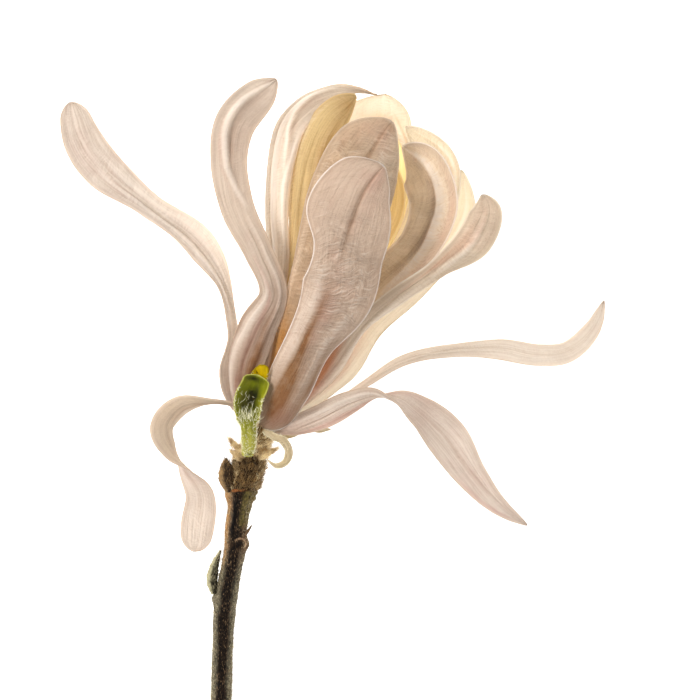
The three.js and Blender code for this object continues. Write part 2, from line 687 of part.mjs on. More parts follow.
// Stamens: straight filaments in a spiral round a short core, leaning outwards.
function stamensGeometry() {
  const { count, length, radius, lean, from, over, foot } = STAMENS;
  const leaning = THREE.MathUtils.degToRad(lean);
  const filament = { length, radius, tip: radius * 0.6, sides: POINT_SIDES };
  const pieces = [coreGeometry(STAMEN_CORE)];
  for (let i = 0; i < count; i += 1) {
    const out = spiralOut(i);
    const height = STAMEN_CORE.bottom + from + (over * i) / count;
    const start = out.clone().multiplyScalar(foot).setY(height);
    const direction = out.clone().multiplyScalar(Math.sin(leaning)).setY(Math.cos(leaning));
    pieces.push(spike(start, direction, filament));
  }
  return onFlowerAxis(joined(pieces));
}

// Carpels: short points in a spiral on a slim cone, each leaning out and up.
function carpelsGeometry() {
  const { count, from, over, foot } = CARPELS;
  const point = { ...CARPELS, sides: POINT_SIDES };
  const pieces = [coreGeometry(CARPEL_CORE)];
  for (let i = 0; i < count; i += 1) {
    const share = (i + 2) / (count + 2);
    const out = spiralOut(i);
    const height = CARPEL_CORE.bottom + from + over * share;
    const start = out.clone().multiplyScalar(foot * (1 - share) + 0.05).setY(height);
    pieces.push(spike(start, out.clone().multiplyScalar(0.75).setY(0.65), point));
  }
  return onFlowerAxis(joined(pieces));
}

// The leaf's sheath: a hollow hood on a short solid stalk.
function sheathGeometry() {
  const stalk = loftGeometry(SHEATH_STALK, BUD_SIDES, SHEATH_STALK_STEPS);
  return joined([stalk, bladeGeometry(SHEATH_BLADE, 0.2, SMALL_GRID)]);
}

// ---- assembly ----------------------------------------------------------------------------------
const branch = new THREE.Group();

function addPiece(name, geometry, material) {
  const mesh = new THREE.Mesh(geometry, material);
  mesh.name = name;
  branch.add(mesh);
}

addPiece('twig', twigGeometry(), finish(COLOURS.bark, 0.85));
addPiece('flower_stalk', stalkGeometry(), finish(COLOURS.stalk, 0.8));
const buds = { lateral_bud_upper: BUD_UPPER_PATH, lateral_bud_lower: BUD_LOWER_PATH };
Object.entries(buds).forEach(([name, path]) => {
  addPiece(name, loftGeometry(path, BUD_SIDES, BUD_STEPS), finish(COLOURS.bud, 0.9));
});
addPiece('leaf_sheath', sheathGeometry(), finish(COLOURS.sheath, 0.8));
addPiece('young_leaf', bladeGeometry(YOUNG_LEAF_BLADE, 0.3, SMALL_GRID), finish(COLOURS.leaf, 0.6));
Object.entries(SMALL_BLADES).forEach(([name, stations]) => {
  const colour = name.includes('bract') ? COLOURS.bract : COLOURS.scale;
  addPiece(name, bladeGeometry(stations, 0.3, SMALL_GRID), finish(colour, 0.85));
});
addPiece('stamens', stamensGeometry(), finish(COLOURS.stamen, 0.7));
addPiece('carpels', carpelsGeometry(), finish(COLOURS.carpel, 0.7));
Object.entries(TEPALS).forEach(([name, tepal]) => {
  const stations = [seatStation(tepal), ...tepal.stations];
  const inner = name.includes('inner') || name.endsWith('right_lower');
  const colour = inner ? COLOURS.tepal_inner : COLOURS.tepal;
  addPiece(name, bladeGeometry(stations, tepal.tip, TEPAL_GRID), finish(colour, 0.55));
});

export default branch;
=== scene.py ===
"""A cut magnolia branch lying on a pale surface, dressed piece by piece over its solid model.

The tables are in millimetres, in the part's own frame: X to the right, Y towards the flower's top,
Z up. MM turns them into metres. Every surface is worked out as whole numpy arrays.
"""

import bpy
import numpy as np
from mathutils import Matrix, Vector


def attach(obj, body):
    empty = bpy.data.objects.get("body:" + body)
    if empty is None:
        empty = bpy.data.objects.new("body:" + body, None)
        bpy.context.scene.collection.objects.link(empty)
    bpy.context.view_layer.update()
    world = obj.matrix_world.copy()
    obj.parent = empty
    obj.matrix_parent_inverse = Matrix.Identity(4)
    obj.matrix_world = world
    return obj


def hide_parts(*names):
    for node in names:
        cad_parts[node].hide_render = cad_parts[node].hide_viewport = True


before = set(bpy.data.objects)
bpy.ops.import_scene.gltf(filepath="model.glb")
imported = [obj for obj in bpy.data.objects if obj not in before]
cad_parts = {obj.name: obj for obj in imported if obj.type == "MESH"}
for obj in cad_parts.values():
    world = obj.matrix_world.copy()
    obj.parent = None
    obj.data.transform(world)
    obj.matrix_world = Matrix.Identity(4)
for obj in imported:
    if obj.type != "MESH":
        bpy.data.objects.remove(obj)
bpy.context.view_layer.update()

MM = 0.001
BODY = "root"

# ---- camera ------------------------------------------------------------------------------------
PHOTO_SPAN = 140.0  # what the photograph's width covers, at the height of the flower's middle
VIEW_CENTRE = (3.3, 11.9)
MIDDLE_HEIGHT = 20.0
LENS = 200.0
SENSOR = 36.0
NEAREST, FARTHEST = 0.05, 20.0


def make_camera():
    """A long lens straight above the branch, with the flower's top towards the picture's top."""
    data = bpy.data.cameras.new("camera")
    data.lens, data.sensor_width = LENS, SENSOR
    data.clip_start, data.clip_end = NEAREST, FARTHEST
    camera = bpy.data.objects.new("camera", data)
    height = MIDDLE_HEIGHT + PHOTO_SPAN * LENS / SENSOR
    camera.location = (VIEW_CENTRE[0] * MM, VIEW_CENTRE[1] * MM, height * MM)
    bpy.context.collection.objects.link(camera)
    bpy.context.scene.camera = camera


make_camera()

# ---- stations ----------------------------------------------------------------------------------
# The flower's axis starts at FLOWER_BASE. The tepals sit round it in four rows, each at its own height
# and radius, on claws of one width, and the stamens and carpels stand above COLUMN_TOP.
FLOWER_BASE = np.array([-14.2, -4.1, 18.0])
FLOWER_AXIS = np.array([0.395, 0.918, 0.0]) / np.hypot(0.395, 0.918)
FLOWER_SIDE = np.cross(FLOWER_AXIS, [0.0, 0.0, 1.0])
UP = np.array([0.0, 0.0, 1.0])
SEAT_HEIGHTS = (0.8, 1.7, 2.6, 3.5)
SEAT_RADII = (3.4, 2.6, 1.9, 1.25)
CLAW_HALF_WIDTH = 0.75
COLUMN_TOP = 4.3

# Each tepal: its row, the angle of its seat round the axis, whether its upper face looks out of the
# flower or into it, and the share of its length that the tip rounds. Its stations run from the claw
# to the tip: x, y, z, half width left, half width right, roll, cup. Roll turns the blade about its
# midrib, and 0 faces up. Cup is how far each half bends. Both are in degrees.
TEPALS = {
    "front": dict(row=0, angle=100, face="out", tip=0.06, stations=[
        (-12.8, -1.6, 24.0, 3.6, 4.2, 0, -50),
        (-9.7, 2.8, 29.0, 6.0, 4.8, 0, -60),
        (-4.4, 12.9, 33.0, 5.7, 5.0, 0, -48),
        (0.9, 23.7, 35.0, 7.6, 7.8, 2, -32),
        (1.9, 31.5, 35.8, 6.0, 8.4, 2, -24),
        (3.3, 36.4, 36.1, 9.4, 8.2, 3, -18),
        (6.2, 43.3, 36.0, 8.4, 5.8, 4, -14),
        (8.2, 46.0, 35.5, 6.5, 4.0, 4, -12),
        (10.0, 48.0, 34.9, 4.0, 2.0, 4, -10)]),
    "upper_front": dict(row=1, angle=96, face="out", tip=0.1, stations=[
        (-12.6, 1.6, 23.0, 2.4, 1.8, 2, -40),
        (-9.2, 9.9, 26.8, 4.4, 3.9, 4, -60),
        (-5.4, 21.8, 29.2, 5.4, 5.3, 2, -55),
        (-0.6, 33.6, 30.5, 7.0, 8.3, 0, -45),
        (3.3, 43.5, 30.3, 8.4, 9.2, -2, -35),
        (6.9, 50.5, 28.9, 8.0, 7.6, -2, -28),
        (11.6, 57.2, 26.2, 5.0, 3.2, 0, -22)]),
    "left_upright": dict(row=1, angle=140, face="out", tip=0.06, stations=[
        (-17.6, 0.8, 22.0, 3.8, 2.0, 45, -35),
        (-18.3, 7.9, 25.4, 6.2, 4.0, 35, -50),
        (-15.4, 15.9, 27.4, 4.5, 4.2, 20, -40),
        (-12.0, 22.6, 28.4, 2.95, 2.95, 8, -30),
        (-15.0, 31.6, 28.2, 3.0, 2.9, 2, -18),
        (-19.2, 40.6, 27.0, 3.4, 3.4, 0, 10),
        (-20.6, 49.6, 25.5, 3.75, 3.75, 0, 25),
        (-19.2, 57.7, 24.0, 4.2, 4.3, 0, 30),
        (-15.0, 62.6, 22.5, 3.5, 3.6, 0, 25),
        (-11.4, 65.9, 21.4, 1.6, 2.2, 0, 15)]),
    "left_droop": dict(row=0, angle=172, face="out", tip=0.06, stations=[
        (-19.8, 0.6, 19.6, 1.3, 1.3, 75, -15),
        (-24.7, 1.5, 20.6, 1.5, 1.5, 62, -12),
        (-29.9, 0.6, 19.5, 1.9, 3.0, 45, -12),
        (-33.4, -3.4, 16.5, 1.7, 3.6, 30, -12),
        (-32.6, -8.0, 12.5, 2.0, 2.9, 55, -12),
        (-29.9, -12.4, 9.5, 2.6, 2.6, 120, -10),
        (-27.2, -17.6, 7.0, 3.0, 3.0, 165, -12),
        (-27.7, -23.8, 5.2, 3.5, 3.4, 180, -14),
        (-28.4, -29.2, 4.1, 2.7, 2.6, 183, -12)]),
    "far_left": dict(row=0, angle=214, face="in", tip=0.04, stations=[
        (-20.0, 0.6, 14.8, 1.5, 1.5, -60, 10),
        (-21.7, 7.5, 13.4, 2.9, 2.0, -60, 0),
        (-20.5, 15.5, 12.0, 1.8, 1.8, -70, 0),
        (-22.1, 24.3, 9.5, 1.9, 1.9, -40, 5),
        (-27.5, 32.6, 6.5, 2.4, 4.1, -20, 12),
        (-38.1, 40.9, 4.0, 1.8, 3.3, -10, 15),
        (-47.4, 48.3, 2.2, 3.6, 4.8, 0, 12),
        (-51.8, 54.3, 1.2, 3.5, 4.6, 0, 10),
        (-54.0, 62.7, 0.3, 2.1, 2.8, 0, 8)]),
    "right_spread": dict(row=0, angle=-36, face="in", tip=0.05, stations=[
        (-6.6, -2.6, 13.9, 1.3, 1.3, 50, 0),
        (1.0, 1.4, 11.6, 1.4, 1.4, 62, 0),
        (5.9, 4.7, 10.3, 1.4, 1.4, 70, 0),
        (13.5, 9.5, 8.2, 2.2, 1.7, 50, -10),
        (24.7, 11.9, 5.8, 1.7, 1.7, 45, -15),
        (33.9, 12.4, 4.2, 2.3, 2.8, 30, -15),
        (42.1, 10.9, 2.7, 2.2, 2.3, 15, -10),
        (47.3, 11.5, 1.7, 2.0, 2.4, 5, -8),
        (52.3, 15.6, 1.0, 1.7, 2.0, -8, -8),
        (55.4, 22.0, 0.3, 0.6, 0.6, -8, 0)]),
    "right_droop": dict(row=0, angle=52, face="out", tip=0.05, stations=[
        (-8.6, -3.9, 22.4, 2.1, 1.5, -20, -20),
        (-2.6, -1.6, 24.0, 2.7, 2.4, 0, -20),
        (2.9, 1.2, 24.0, 2.5, 2.5, -20, -20),
        (7.8, 2.8, 22.5, 1.9, 1.9, -40, -15),
        (10.8, 2.5, 20.9, 1.8, 1.8, -92, -10),
        (13.8, 1.5, 19.3, 2.7, 2.8, -135, -10),
        (17.2, -0.9, 17.2, 3.6, 4.0, -147, -10),
        (22.5, -6.1, 13.5, 4.1, 4.8, -160, -10),
        (28.3, -13.7, 9.5, 3.5, 3.0, -170, -10),
        (33.8, -19.7, 6.5, 2.1, 1.6, -175, -8),
        (39.4, -23.8, 4.5, 0.5, 0.5, -175, 0)]),
    "upper_left": dict(row=2, angle=172, face="out", tip=0.05, stations=[
        (-15.8, 3.4, 18.4, 1.5, 2.0, 74, -30),
        (-14.6, 9.9, 19.2, 2.4, 3.0, 68, -40),
        (-13.0, 19.9, 20.2, 3.2, 3.5, 60, -45),
        (-12.1, 29.9, 20.6, 3.4, 3.9, 52, -45),
        (-12.5, 39.9, 20.6, 3.4, 4.2, 50, -42),
        (-11.7, 49.9, 20.2, 3.4, 4.7, 48, -40),
        (-9.3, 57.9, 19.2, 3.0, 4.8, 42, -35),
        (-5.5, 61.9, 18.0, 2.4, 4.2, 35, -30),
        (-0.7, 63.9, 16.5, 1.7, 2.4, 25, -20),
        (3.7, 64.3, 15.2, 0.9, 0.9, -10, 0),
        (8.7, 63.3, 14.0, 0.5, 0.5, -60, 0)]),
    "inner_left": dict(row=3, angle=140, face="out", tip=0.06, stations=[
        (-13.2, 3.2, 19.8, 1.3, 1.3, 46, -30),
        (-10.7, 11.9, 20.9, 2.4, 2.6, 40, -50),
        (-8.3, 23.8, 22.5, 3.0, 4.0, 34, -52),
        (-7.2, 33.8, 23.2, 3.2, 4.6, 28, -50),
        (-6.4, 43.7, 23.2, 3.8, 5.0, 24, -48),
        (-4.2, 52.7, 22.6, 4.3, 4.8, 18, -42),
        (-0.7, 58.8, 21.5, 3.4, 4.2, 10, -36),
        (4.5, 62.8, 19.8, 1.6, 1.6, 0, -25)]),
    "back": dict(row=0, angle=262, face="in", tip=0.06, stations=[
        (-12.2, 0.2, 11.4, 2.2, 2.2, 0, 40),
        (-6.9, 11.9, 6.0, 5.0, 5.0, 0, 50),
        (-0.8, 26.2, 1.8, 6.8, 6.8, 0, 45),
        (5.3, 40.5, -0.4, 7.8, 7.8, 0, 45),
        (8.8, 52.9, 2.0, 9.2, 7.8, 0, 40),
        (10.2, 63.9, 7.0, 8.6, 5.4, 0, 35)]),
    "right_crescent": dict(row=2, angle=34, face="out", tip=0.1, stations=[
        (-9.8, 1.9, 19.8, 1.6, 1.6, -40, -20),
        (-1.7, 11.9, 21.4, 3.2, 3.2, -10, 0),
        (8.1, 24.2, 22.4, 4.0, 4.2, 10, 20),
        (18.0, 33.8, 22.4, 4.6, 5.6, 25, 40),
        (20.8, 41.3, 22.4, 6.1, 6.7, 35, 45),
        (18.8, 48.6, 21.6, 6.1, 6.3, 35, 45),
        (13.9, 52.6, 20.2, 2.5, 3.4, 25, 30)]),
    "right_back": dict(row=2, angle=-70, face="in", tip=0.1, stations=[
        (-9.6, 2.6, 14.2, 1.8, 1.8, 25, 30),
        (1.3, 14.9, 11.0, 4.0, 4.0, 32, 50),
        (13.4, 27.1, 9.5, 5.5, 5.5, 30, 45),
        (19.9, 39.2, 10.0, 5.8, 5.8, 25, 45),
        (21.5, 48.7, 12.0, 5.2, 6.4, 30, 45),
        (14.6, 56.9, 14.5, 2.2, 3.2, 30, 35)]),
    "far_right_back": dict(row=1, angle=-62, face="in", tip=0.14, stations=[
        (-6.8, 1.6, 12.6, 1.9, 1.9, 30, 40),
        (2.3, 12.9, 8.2, 3.4, 3.4, 25, 40),
        (10.5, 21.9, 5.8, 4.0, 4.0, 22, 38),
        (18.6, 31.4, 5.0, 4.8, 4.8, 20, 35),
        (24.8, 41.8, 5.6, 5.2, 6.0, 20, 35),
        (25.8, 48.4, 8.2, 2.4, 3.0, 15, 30)]),
    "right_hook": dict(row=1, angle=42, face="out", tip=0.05, stations=[
        (-7.6, 0.6, 22.6, 1.8, 1.8, -40, -20),
        (0.1, 8.9, 25.0, 3.2, 3.2, -40, -40),
        (5.5, 16.3, 26.4, 2.4, 2.4, -45, -30),
        (12.6, 22.6, 27.2, 2.0, 2.6, -40, -20),
        (20.7, 28.2, 28.0, 1.9, 2.6, -20, -20),
        (27.8, 34.5, 28.5, 3.2, 4.3, 0, -25),
        (30.2, 39.6, 28.0, 3.2, 3.2, 5, -25),
        (29.6, 42.7, 27.5, 1.5, 1.8, 10, -10)]),
    "right_lower": dict(row=2, angle=-18, face="in", tip=0.14, stations=[
        (-7.0, 0.2, 17.6, 1.6, 3.6, 60, 20),
        (1.7, 6.9, 17.6, 3.0, 5.2, 58, 20),
        (8.5, 15.9, 17.4, 3.2, 5.0, 58, 30),
        (17.3, 23.9, 17.2, 3.2, 4.0, 55, 35),
        (24.3, 30.5, 17.0, 2.0, 2.0, 50, 30)]),
    "inner_right": dict(row=3, angle=-80, face="in", tip=0.12, stations=[
        (-11.0, 3.4, 15.4, 1.5, 1.5, 10, 30),
        (-2.8, 18.0, 12.6, 4.0, 4.0, 10, 45),
        (5.7, 34.1, 11.2, 5.2, 6.8, 10, 40),
        (10.4, 47.2, 11.8, 5.2, 5.8, 10, 38),
        (9.4, 57.4, 14.0, 3.4, 3.2, 10, 30)]),
    "inner_heart": dict(row=3, angle=60, face="out", tip=0.12, stations=[
        (-10.3, 4.9, 20.2, 1.0, 1.0, -8, -20),
        (-3.2, 17.9, 19.4, 3.4, 3.4, -15, -45),
        (6.0, 31.8, 18.4, 4.6, 4.0, 0, -40),
        (11.3, 40.8, 18.2, 4.2, 3.0, 10, -35),
        (11.3, 49.9, 17.6, 2.0, 2.0, 10, -20)]),
}

# Folds along each tepal: height, width as a share of the half width, and the line that the fold
# follows as (along, across) pairs. A negative height is a groove. Waves lift the two margins:
# height, how many along the tepal, and where the left and right ones start. Stripes are the height
# of the soft uneven ridges that run along the whole tepal.
FOLDS = {
    "front": [(-0.5, 0.07, [(0.66, 0.0), (0.8, 0.03), (1.02, 0.0)]),
              (0.28, 0.12, [(0.1, -0.45), (0.45, -0.4), (0.66, -0.55)]),
              (0.25, 0.14, [(0.08, 0.4), (0.4, 0.45), (0.6, 0.6)])],
    "upper_front": [(-0.35, 0.07, [(0.5, 0.0), (0.75, 0.05), (1.02, 0.0)]),
                    (0.3, 0.16, [(0.55, 0.5), (0.75, 0.55), (0.95, 0.3)])],
    "left_upright": [(0.85, 0.13, [(0.6, 0.6), (0.65, 0.3), (0.72, -0.13), (0.8, -0.33),
                                   (0.9, -0.38), (0.96, -0.2), (1.01, 0.0)]),
                     (-0.35, 0.1, [(0.05, 0.0), (0.3, 0.05), (0.6, 0.1)]),
                     (0.3, 0.1, [(0.05, -0.45), (0.3, -0.4), (0.55, -0.3)]),
                     (0.3, 0.1, [(0.05, 0.45), (0.3, 0.5), (0.6, 0.4)])],
    "left_droop": [(-0.25, 0.16, [(0.1, 0.0), (0.4, 0.0), (0.9, 0.0)])],
    "far_left": [(0.35, 0.13, [(0.25, -0.45), (0.55, -0.3), (0.72, -0.1), (0.86, 0.15)]),
                 (-0.35, 0.1, [(0.25, -0.1), (0.5, 0.0), (0.8, 0.1)]),
                 (0.28, 0.12, [(0.3, 0.4), (0.6, 0.5), (0.85, 0.55)])],
    "right_spread": [(-0.22, 0.16, [(0.1, 0.0), (0.5, 0.0), (0.95, 0.0)])],
    "right_droop": [(-0.28, 0.09, [(0.05, 0.1), (0.3, 0.1), (0.48, 0.0)]),
                    (0.3, 0.1, [(0.05, -0.4), (0.3, -0.4), (0.5, -0.3)]),
                    (-0.2, 0.07, [(0.5, 0.0), (0.75, 0.0), (0.97, 0.0)]),
                    (0.2, 0.1, [(0.5, 0.45), (0.75, 0.4), (0.97, 0.1)])],
    "upper_left": [(0.7, 0.1, [(0.25, 0.35), (0.55, 0.2), (0.75, -0.05), (0.9, -0.2)]),
                   (-0.4, 0.12, [(0.25, 0.0), (0.55, -0.1), (0.8, -0.4)]),
                   (0.3, 0.08, [(0.25, -0.45), (0.6, -0.5), (0.8, -0.65)])],
    "inner_left": [(-0.2, 0.1, [(0.4, 0.0), (0.7, 0.0), (0.95, 0.0)]),
                   (0.22, 0.12, [(0.3, 0.5), (0.6, 0.5), (0.9, 0.4)])],
    "right_crescent": [(1.1, 0.14, [(0.45, 0.6), (0.57, 0.46), (0.63, 0.33), (0.74, 0.15),
                                    (0.86, 0.12), (1.0, 0.0)]),
                       (-0.5, 0.2, [(0.45, 0.1), (0.65, -0.1), (0.8, -0.2), (0.97, -0.4)])],
    "right_hook": [(0.5, 0.14, [(0.68, 0.3), (0.8, 0.2), (0.95, 0.0)]),
                   (-0.25, 0.12, [(0.2, 0.0), (0.5, 0.0), (0.7, 0.0)])],
}
COMMON_FOLDS = [(-0.18, 0.1, [(0.06, 0.0), (0.5, 0.0), (0.97, 0.0)]),
                (0.12, 0.1, [(0.06, -0.5), (0.5, -0.5), (0.9, -0.45)]),
                (0.12, 0.1, [(0.06, 0.5), (0.5, 0.5), (0.9, 0.45)])]
WAVES = {
    "front": (0.25, 3.3, 0.1, 0.6), "upper_front": (0.3, 3.0, 0.4, 0.1),
    "left_upright": (0.35, 3.4, 0.2, 0.7), "left_droop": (0.25, 3.0, 0.3, 0.8),
    "far_left": (0.45, 5.2, 0.35, 0.0), "right_spread": (0.3, 4.0, 0.2, 0.6),
    "right_droop": (0.3, 3.6, 0.0, 0.5), "upper_left": (0.3, 3.0, 0.2, 0.7),
    "right_crescent": (0.3, 2.6, 0.2, 0.7),
}
COMMON_WAVE = (0.25, 3.0, 0.15, 0.55)
STRIPES = {"front": 0.04, "upper_front": 0.03, "left_droop": 0.03, "right_crescent": 0.04,
           "right_droop": 0.05, "right_spread": 0.05, "right_hook": 0.06}
COMMON_STRIPES = 0.1

# ---- numbers along paths -----------------------------------------------------------------------
NEARBY = 1e-4  # a very short way along a path, as a share of it
NOISE_PERIOD = 64  # the lattice of random numbers repeats after this many steps
BARK_SEED, RIDGE_SEED = 11, 21
WRINKLE_SEEDS, STRIPE_SEEDS, LUMP_SEEDS, SMALL_HAIR_SEEDS = 100, 300, 500, 70


def smooth_values(rows, s):
    """The stations' numbers at s, 0 to 1 along them, on a smooth curve through every station.

    Spans are the distances between stations as shares of the whole. A station's slope is the mean
    of the slopes beside it, each weighted by the other's span; an end slope is 1.5 times its
    span's slope less half of its neighbour's. Between stations the cubic Hermite blend holds.
    """
    lengths = np.linalg.norm(np.diff(rows[:, :3], axis=0), axis=1)
    spans = lengths / lengths.sum()
    starts = np.concatenate([[0.0], np.cumsum(spans)])
    steps = np.diff(rows, axis=0) / spans[:, None]
    slopes = np.empty_like(rows)
    weights = (spans[1:] + spans[:-1])[:, None]
    slopes[1:-1] = (steps[:-1] * spans[1:, None] + steps[1:] * spans[:-1, None]) / weights
    slopes[0] = 1.5 * steps[0] - 0.5 * slopes[1]
    slopes[-1] = 1.5 * steps[-1] - 0.5 * slopes[-2]
    i = np.clip(np.searchsorted(starts, s, side="right") - 1, 0, len(spans) - 1)
    h = spans[i][:, None]
    u = (s - starts[i])[:, None] / h
    return ((1 + 2 * u) * (1 - u) ** 2 * rows[i] + u * (1 - u) ** 2 * h * slopes[i]
            + u * u * (3 - 2 * u) * rows[i + 1] + u * u * (u - 1) * h * slopes[i + 1])


def unit(vectors):
    """Each vector over its own length."""
    return vectors / np.maximum(np.linalg.norm(vectors, axis=-1, keepdims=True), 1e-12)


def frames_at(rows, s):
    """Values at s, the path's direction, up made square to it, and the direction to the right."""
    values = smooth_values(rows, s)
    before = smooth_values(rows, np.clip(s - NEARBY, 0, 1))
    after = smooth_values(rows, np.clip(s + NEARBY, 0, 1))
    along = unit((after - before)[:, :3])
    lift = unit(UP - along * along[:, 2:3])
    side = np.cross(along, lift)
    return values, along, lift, side


def soft_noise(x, y, seed, period):
    """Smooth noise of -1 to 1 over the plane: random numbers on a lattice of step 1, which
    repeats along x after period, joined by 3u^2 - 2u^3 in both directions."""
    table = np.random.default_rng(seed).uniform(-1, 1, (period, NOISE_PERIOD))
    xi, yi = np.floor(x).astype(int), np.floor(y).astype(int)
    u, v = x - xi, y - yi
    u, v = u * u * (3 - 2 * u), v * v * (3 - 2 * v)
    left, right = xi % period, (xi + 1) % period
    low, high = yi % NOISE_PERIOD, (yi + 1) % NOISE_PERIOD
    lower = table[left, low] * (1 - u) + table[right, low] * u
    upper = table[left, high] * (1 - u) + table[right, high] * u
    return lower * (1 - v) + upper * v


def layered_noise(x, y, seed, layers=3, period=NOISE_PERIOD):
    """Soft noise plus itself at twice the pitch and half the height, layer after layer."""
    total = 0.0
    for layer in range(layers):
        pitch = 2**layer
        total = total + soft_noise(x * pitch, y * pitch, seed + layer, period * pitch) / pitch
    return total


# ---- meshes ------------------------------------------------------------------------------------
def make_piece(name, points, faces, material, replaces=(), marks=None):
    """A mesh object from points in millimetres, which rides on the body.

    marks are the surface's own coordinates: attribute name to one vector for each point.
    """
    points = np.ascontiguousarray(points.reshape(-1, 3))
    mesh = bpy.data.meshes.new(name)
    mesh.from_pydata((points * MM).tolist(), [], faces)
    mesh.update()
    for mark, values in (marks or {}).items():
        attribute = mesh.attributes.new(mark, "FLOAT_VECTOR", "POINT")
        attribute.data.foreach_set("vector", values.reshape(-1).astype(np.float32))
    mesh.polygons.foreach_set("use_smooth", np.full(len(mesh.polygons), True))
    mesh.materials.append(material)
    piece = bpy.data.objects.new(name, mesh)
    bpy.context.collection.objects.link(piece)
    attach(piece, BODY)
    if replaces:
        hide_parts(*replaces)
    return piece


def grid_faces(rows, columns, start=0, turned=False):
    """Four-sided faces between the points of a grid, numbered row by row from start."""
    index = start + np.arange(rows * columns).reshape(rows, columns)
    a, b, c, d = index[:-1, :-1], index[:-1, 1:], index[1:, 1:], index[1:, :-1]
    faces = np.stack([a, b, c, d], -1).reshape(-1, 4)
    return faces[:, ::-1] if turned else faces


def grid_normals(points):
    """The surface's direction at each grid point: the way across times the way along."""
    across, along = np.gradient(points, axis=1), np.gradient(points, axis=0)
    return unit(np.cross(across, along))


def joined(points, faces, more_points, more_faces):
    """Two closed bodies as one list of points and one of faces."""
    points, more_points = points.reshape(-1, 3), more_points.reshape(-1, 3)
    shifted = [[index + len(points) for index in face] for face in more_faces]
    return np.concatenate([points, more_points]), faces + shifted


# ---- blades ------------------------------------------------------------------------------------
TIP_SHARE = 0.04  # how much of its width a blade keeps at the very tip
SECTION_STEPS = 3  # steps of the bend across a blade between two points
EDGE_REACH = 3.0  # as far as the distance to a margin is told apart
PATTERN_STEP = 17.0  # how far apart the patterns of two blades lie


def blade_surface(stations, tip, steps, half_columns):
    """The middle surface of a blade as a grid of points, with s along and v across it.

    Across the blade, the direction turns evenly from the midrib's roll by the cup to each margin,
    and short steps along it are summed. Over the last share of the length, tip, the half widths
    shrink as the square root of 1 - x^2.
    """
    rows = np.array(stations, float)
    t = np.linspace(0, 1, steps + 1)
    s = 0.5 * t + 0.25 * (1 - np.cos(np.pi * t))
    values, along, lift, side = frames_at(rows, s)
    beyond = np.clip((s - (1 - tip)) / tip, 0, 1)
    rounding = np.sqrt(np.maximum(1 - beyond**2, TIP_SHARE**2))
    roll, cup = np.radians(values[:, 5:6]), np.radians(values[:, 6:7])
    count = half_columns * SECTION_STEPS
    middle = (np.arange(count) + 0.5) / count
    halves = []
    for sign, half in ((-1, values[:, 3]), (1, values[:, 4])):
        turn = roll + sign * cup * middle
        step = sign * (half * rounding)[:, None] / count
        sideways = np.cumsum(step * np.cos(turn), axis=1)[:, SECTION_STEPS - 1::SECTION_STEPS]
        upwards = np.cumsum(step * np.sin(turn), axis=1)[:, SECTION_STEPS - 1::SECTION_STEPS]
        halves.append(sideways[..., None] * side[:, None] + upwards[..., None] * lift[:, None])
    centre = values[:, None, :3]
    surface = np.concatenate([centre + halves[0][:, ::-1], centre, centre + halves[1]], axis=1)
    v = np.linspace(-1, 1, 2 * half_columns + 1)
    widths = np.stack([values[:, 3] * rounding, values[:, 4] * rounding], -1)
    return surface, s, v, widths


def fold_relief(s, v, folds):
    """Height of the folds over the grid: each is height * exp(-((v - line(s)) / width)^2), and
    fades as the sine of the way along its line, to the power 0.6."""
    total = np.zeros((len(s), len(v)))
    for height, width, line in folds:
        at, across = np.array(line).T
        way = np.clip((s - at[0]) / (at[-1] - at[0]), 0, 1)
        fade = np.sin(np.pi * way) ** 0.6
        place = np.interp(s, at, across)[:, None]
        total += height * fade[:, None] * np.exp(-(((v[None] - place) / width) ** 2))
    return total


def margin_waves(s, v, wave):
    """Lift of the margins: height * |v|^3 * sin of the way along, with a start for each side."""
    height, count, left, right = wave
    start = np.where(v < 0, left, right)[None]
    ease = np.minimum(1, 5 * s)[:, None]
    return height * ease * np.abs(v[None]) ** 3 * np.sin(2 * np.pi * (count * s[:, None] + start))


def surface_lengths(surface):
    """Millimetres across from the midrib, and along from the base, at each point of a grid."""
    middle = surface.shape[1] // 2
    across = np.linalg.norm(np.diff(surface, axis=1), axis=2)
    across = np.concatenate([np.zeros((len(surface), 1)), np.cumsum(across, axis=1)], axis=1)
    across -= across[:, middle:middle + 1]
    along = np.linalg.norm(np.diff(surface[:, middle], axis=0), axis=1)
    along = np.concatenate([[0.0], np.cumsum(along)])
    return across, np.broadcast_to(along[:, None], across.shape)


def margin_distance(surface, widths, v):
    """Millimetres from each point to the nearest margin or to the tip, up to EDGE_REACH."""
    half = np.where(v[None] < 0, widths[:, :1], widths[:, 1:])
    _, along = surface_lengths(surface)
    return np.minimum(np.minimum(half * (1 - np.abs(v[None])), along[-1:] - along), EDGE_REACH)


def blade_body(surface, thickness, marks):
    """A closed body from a middle surface: both faces, and a rim of four-sided faces round them.

    Returns points, faces and marks. The third number of the mark place is 1 on the face that the
    surface's normals look out of, and 0 on the other.
    """
    normals = grid_normals(surface)
    half = thickness[..., None] / 2
    upper, lower = surface + normals * half, surface - normals * half
    rows, columns = surface.shape[:2]
    count = rows * columns
    index = np.arange(count).reshape(rows, columns)
    rim = np.concatenate([index[0], index[1:, -1], index[-1, -2::-1], index[-2:0:-1, 0]])
    following = np.roll(rim, -1)
    sides = np.stack([rim, rim + count, following + count, following], -1)
    faces = np.concatenate([
        grid_faces(rows, columns), grid_faces(rows, columns, count, turned=True), sides])
    points = np.concatenate([upper.reshape(-1, 3), lower.reshape(-1, 3)])
    points[:, 2] = np.maximum(points[:, 2], 0.0)
    doubled = {name: np.stack([values, values]) for name, values in marks.items()}
    doubled["place"][1, ..., 2] = 0
    return points, faces.tolist(), doubled


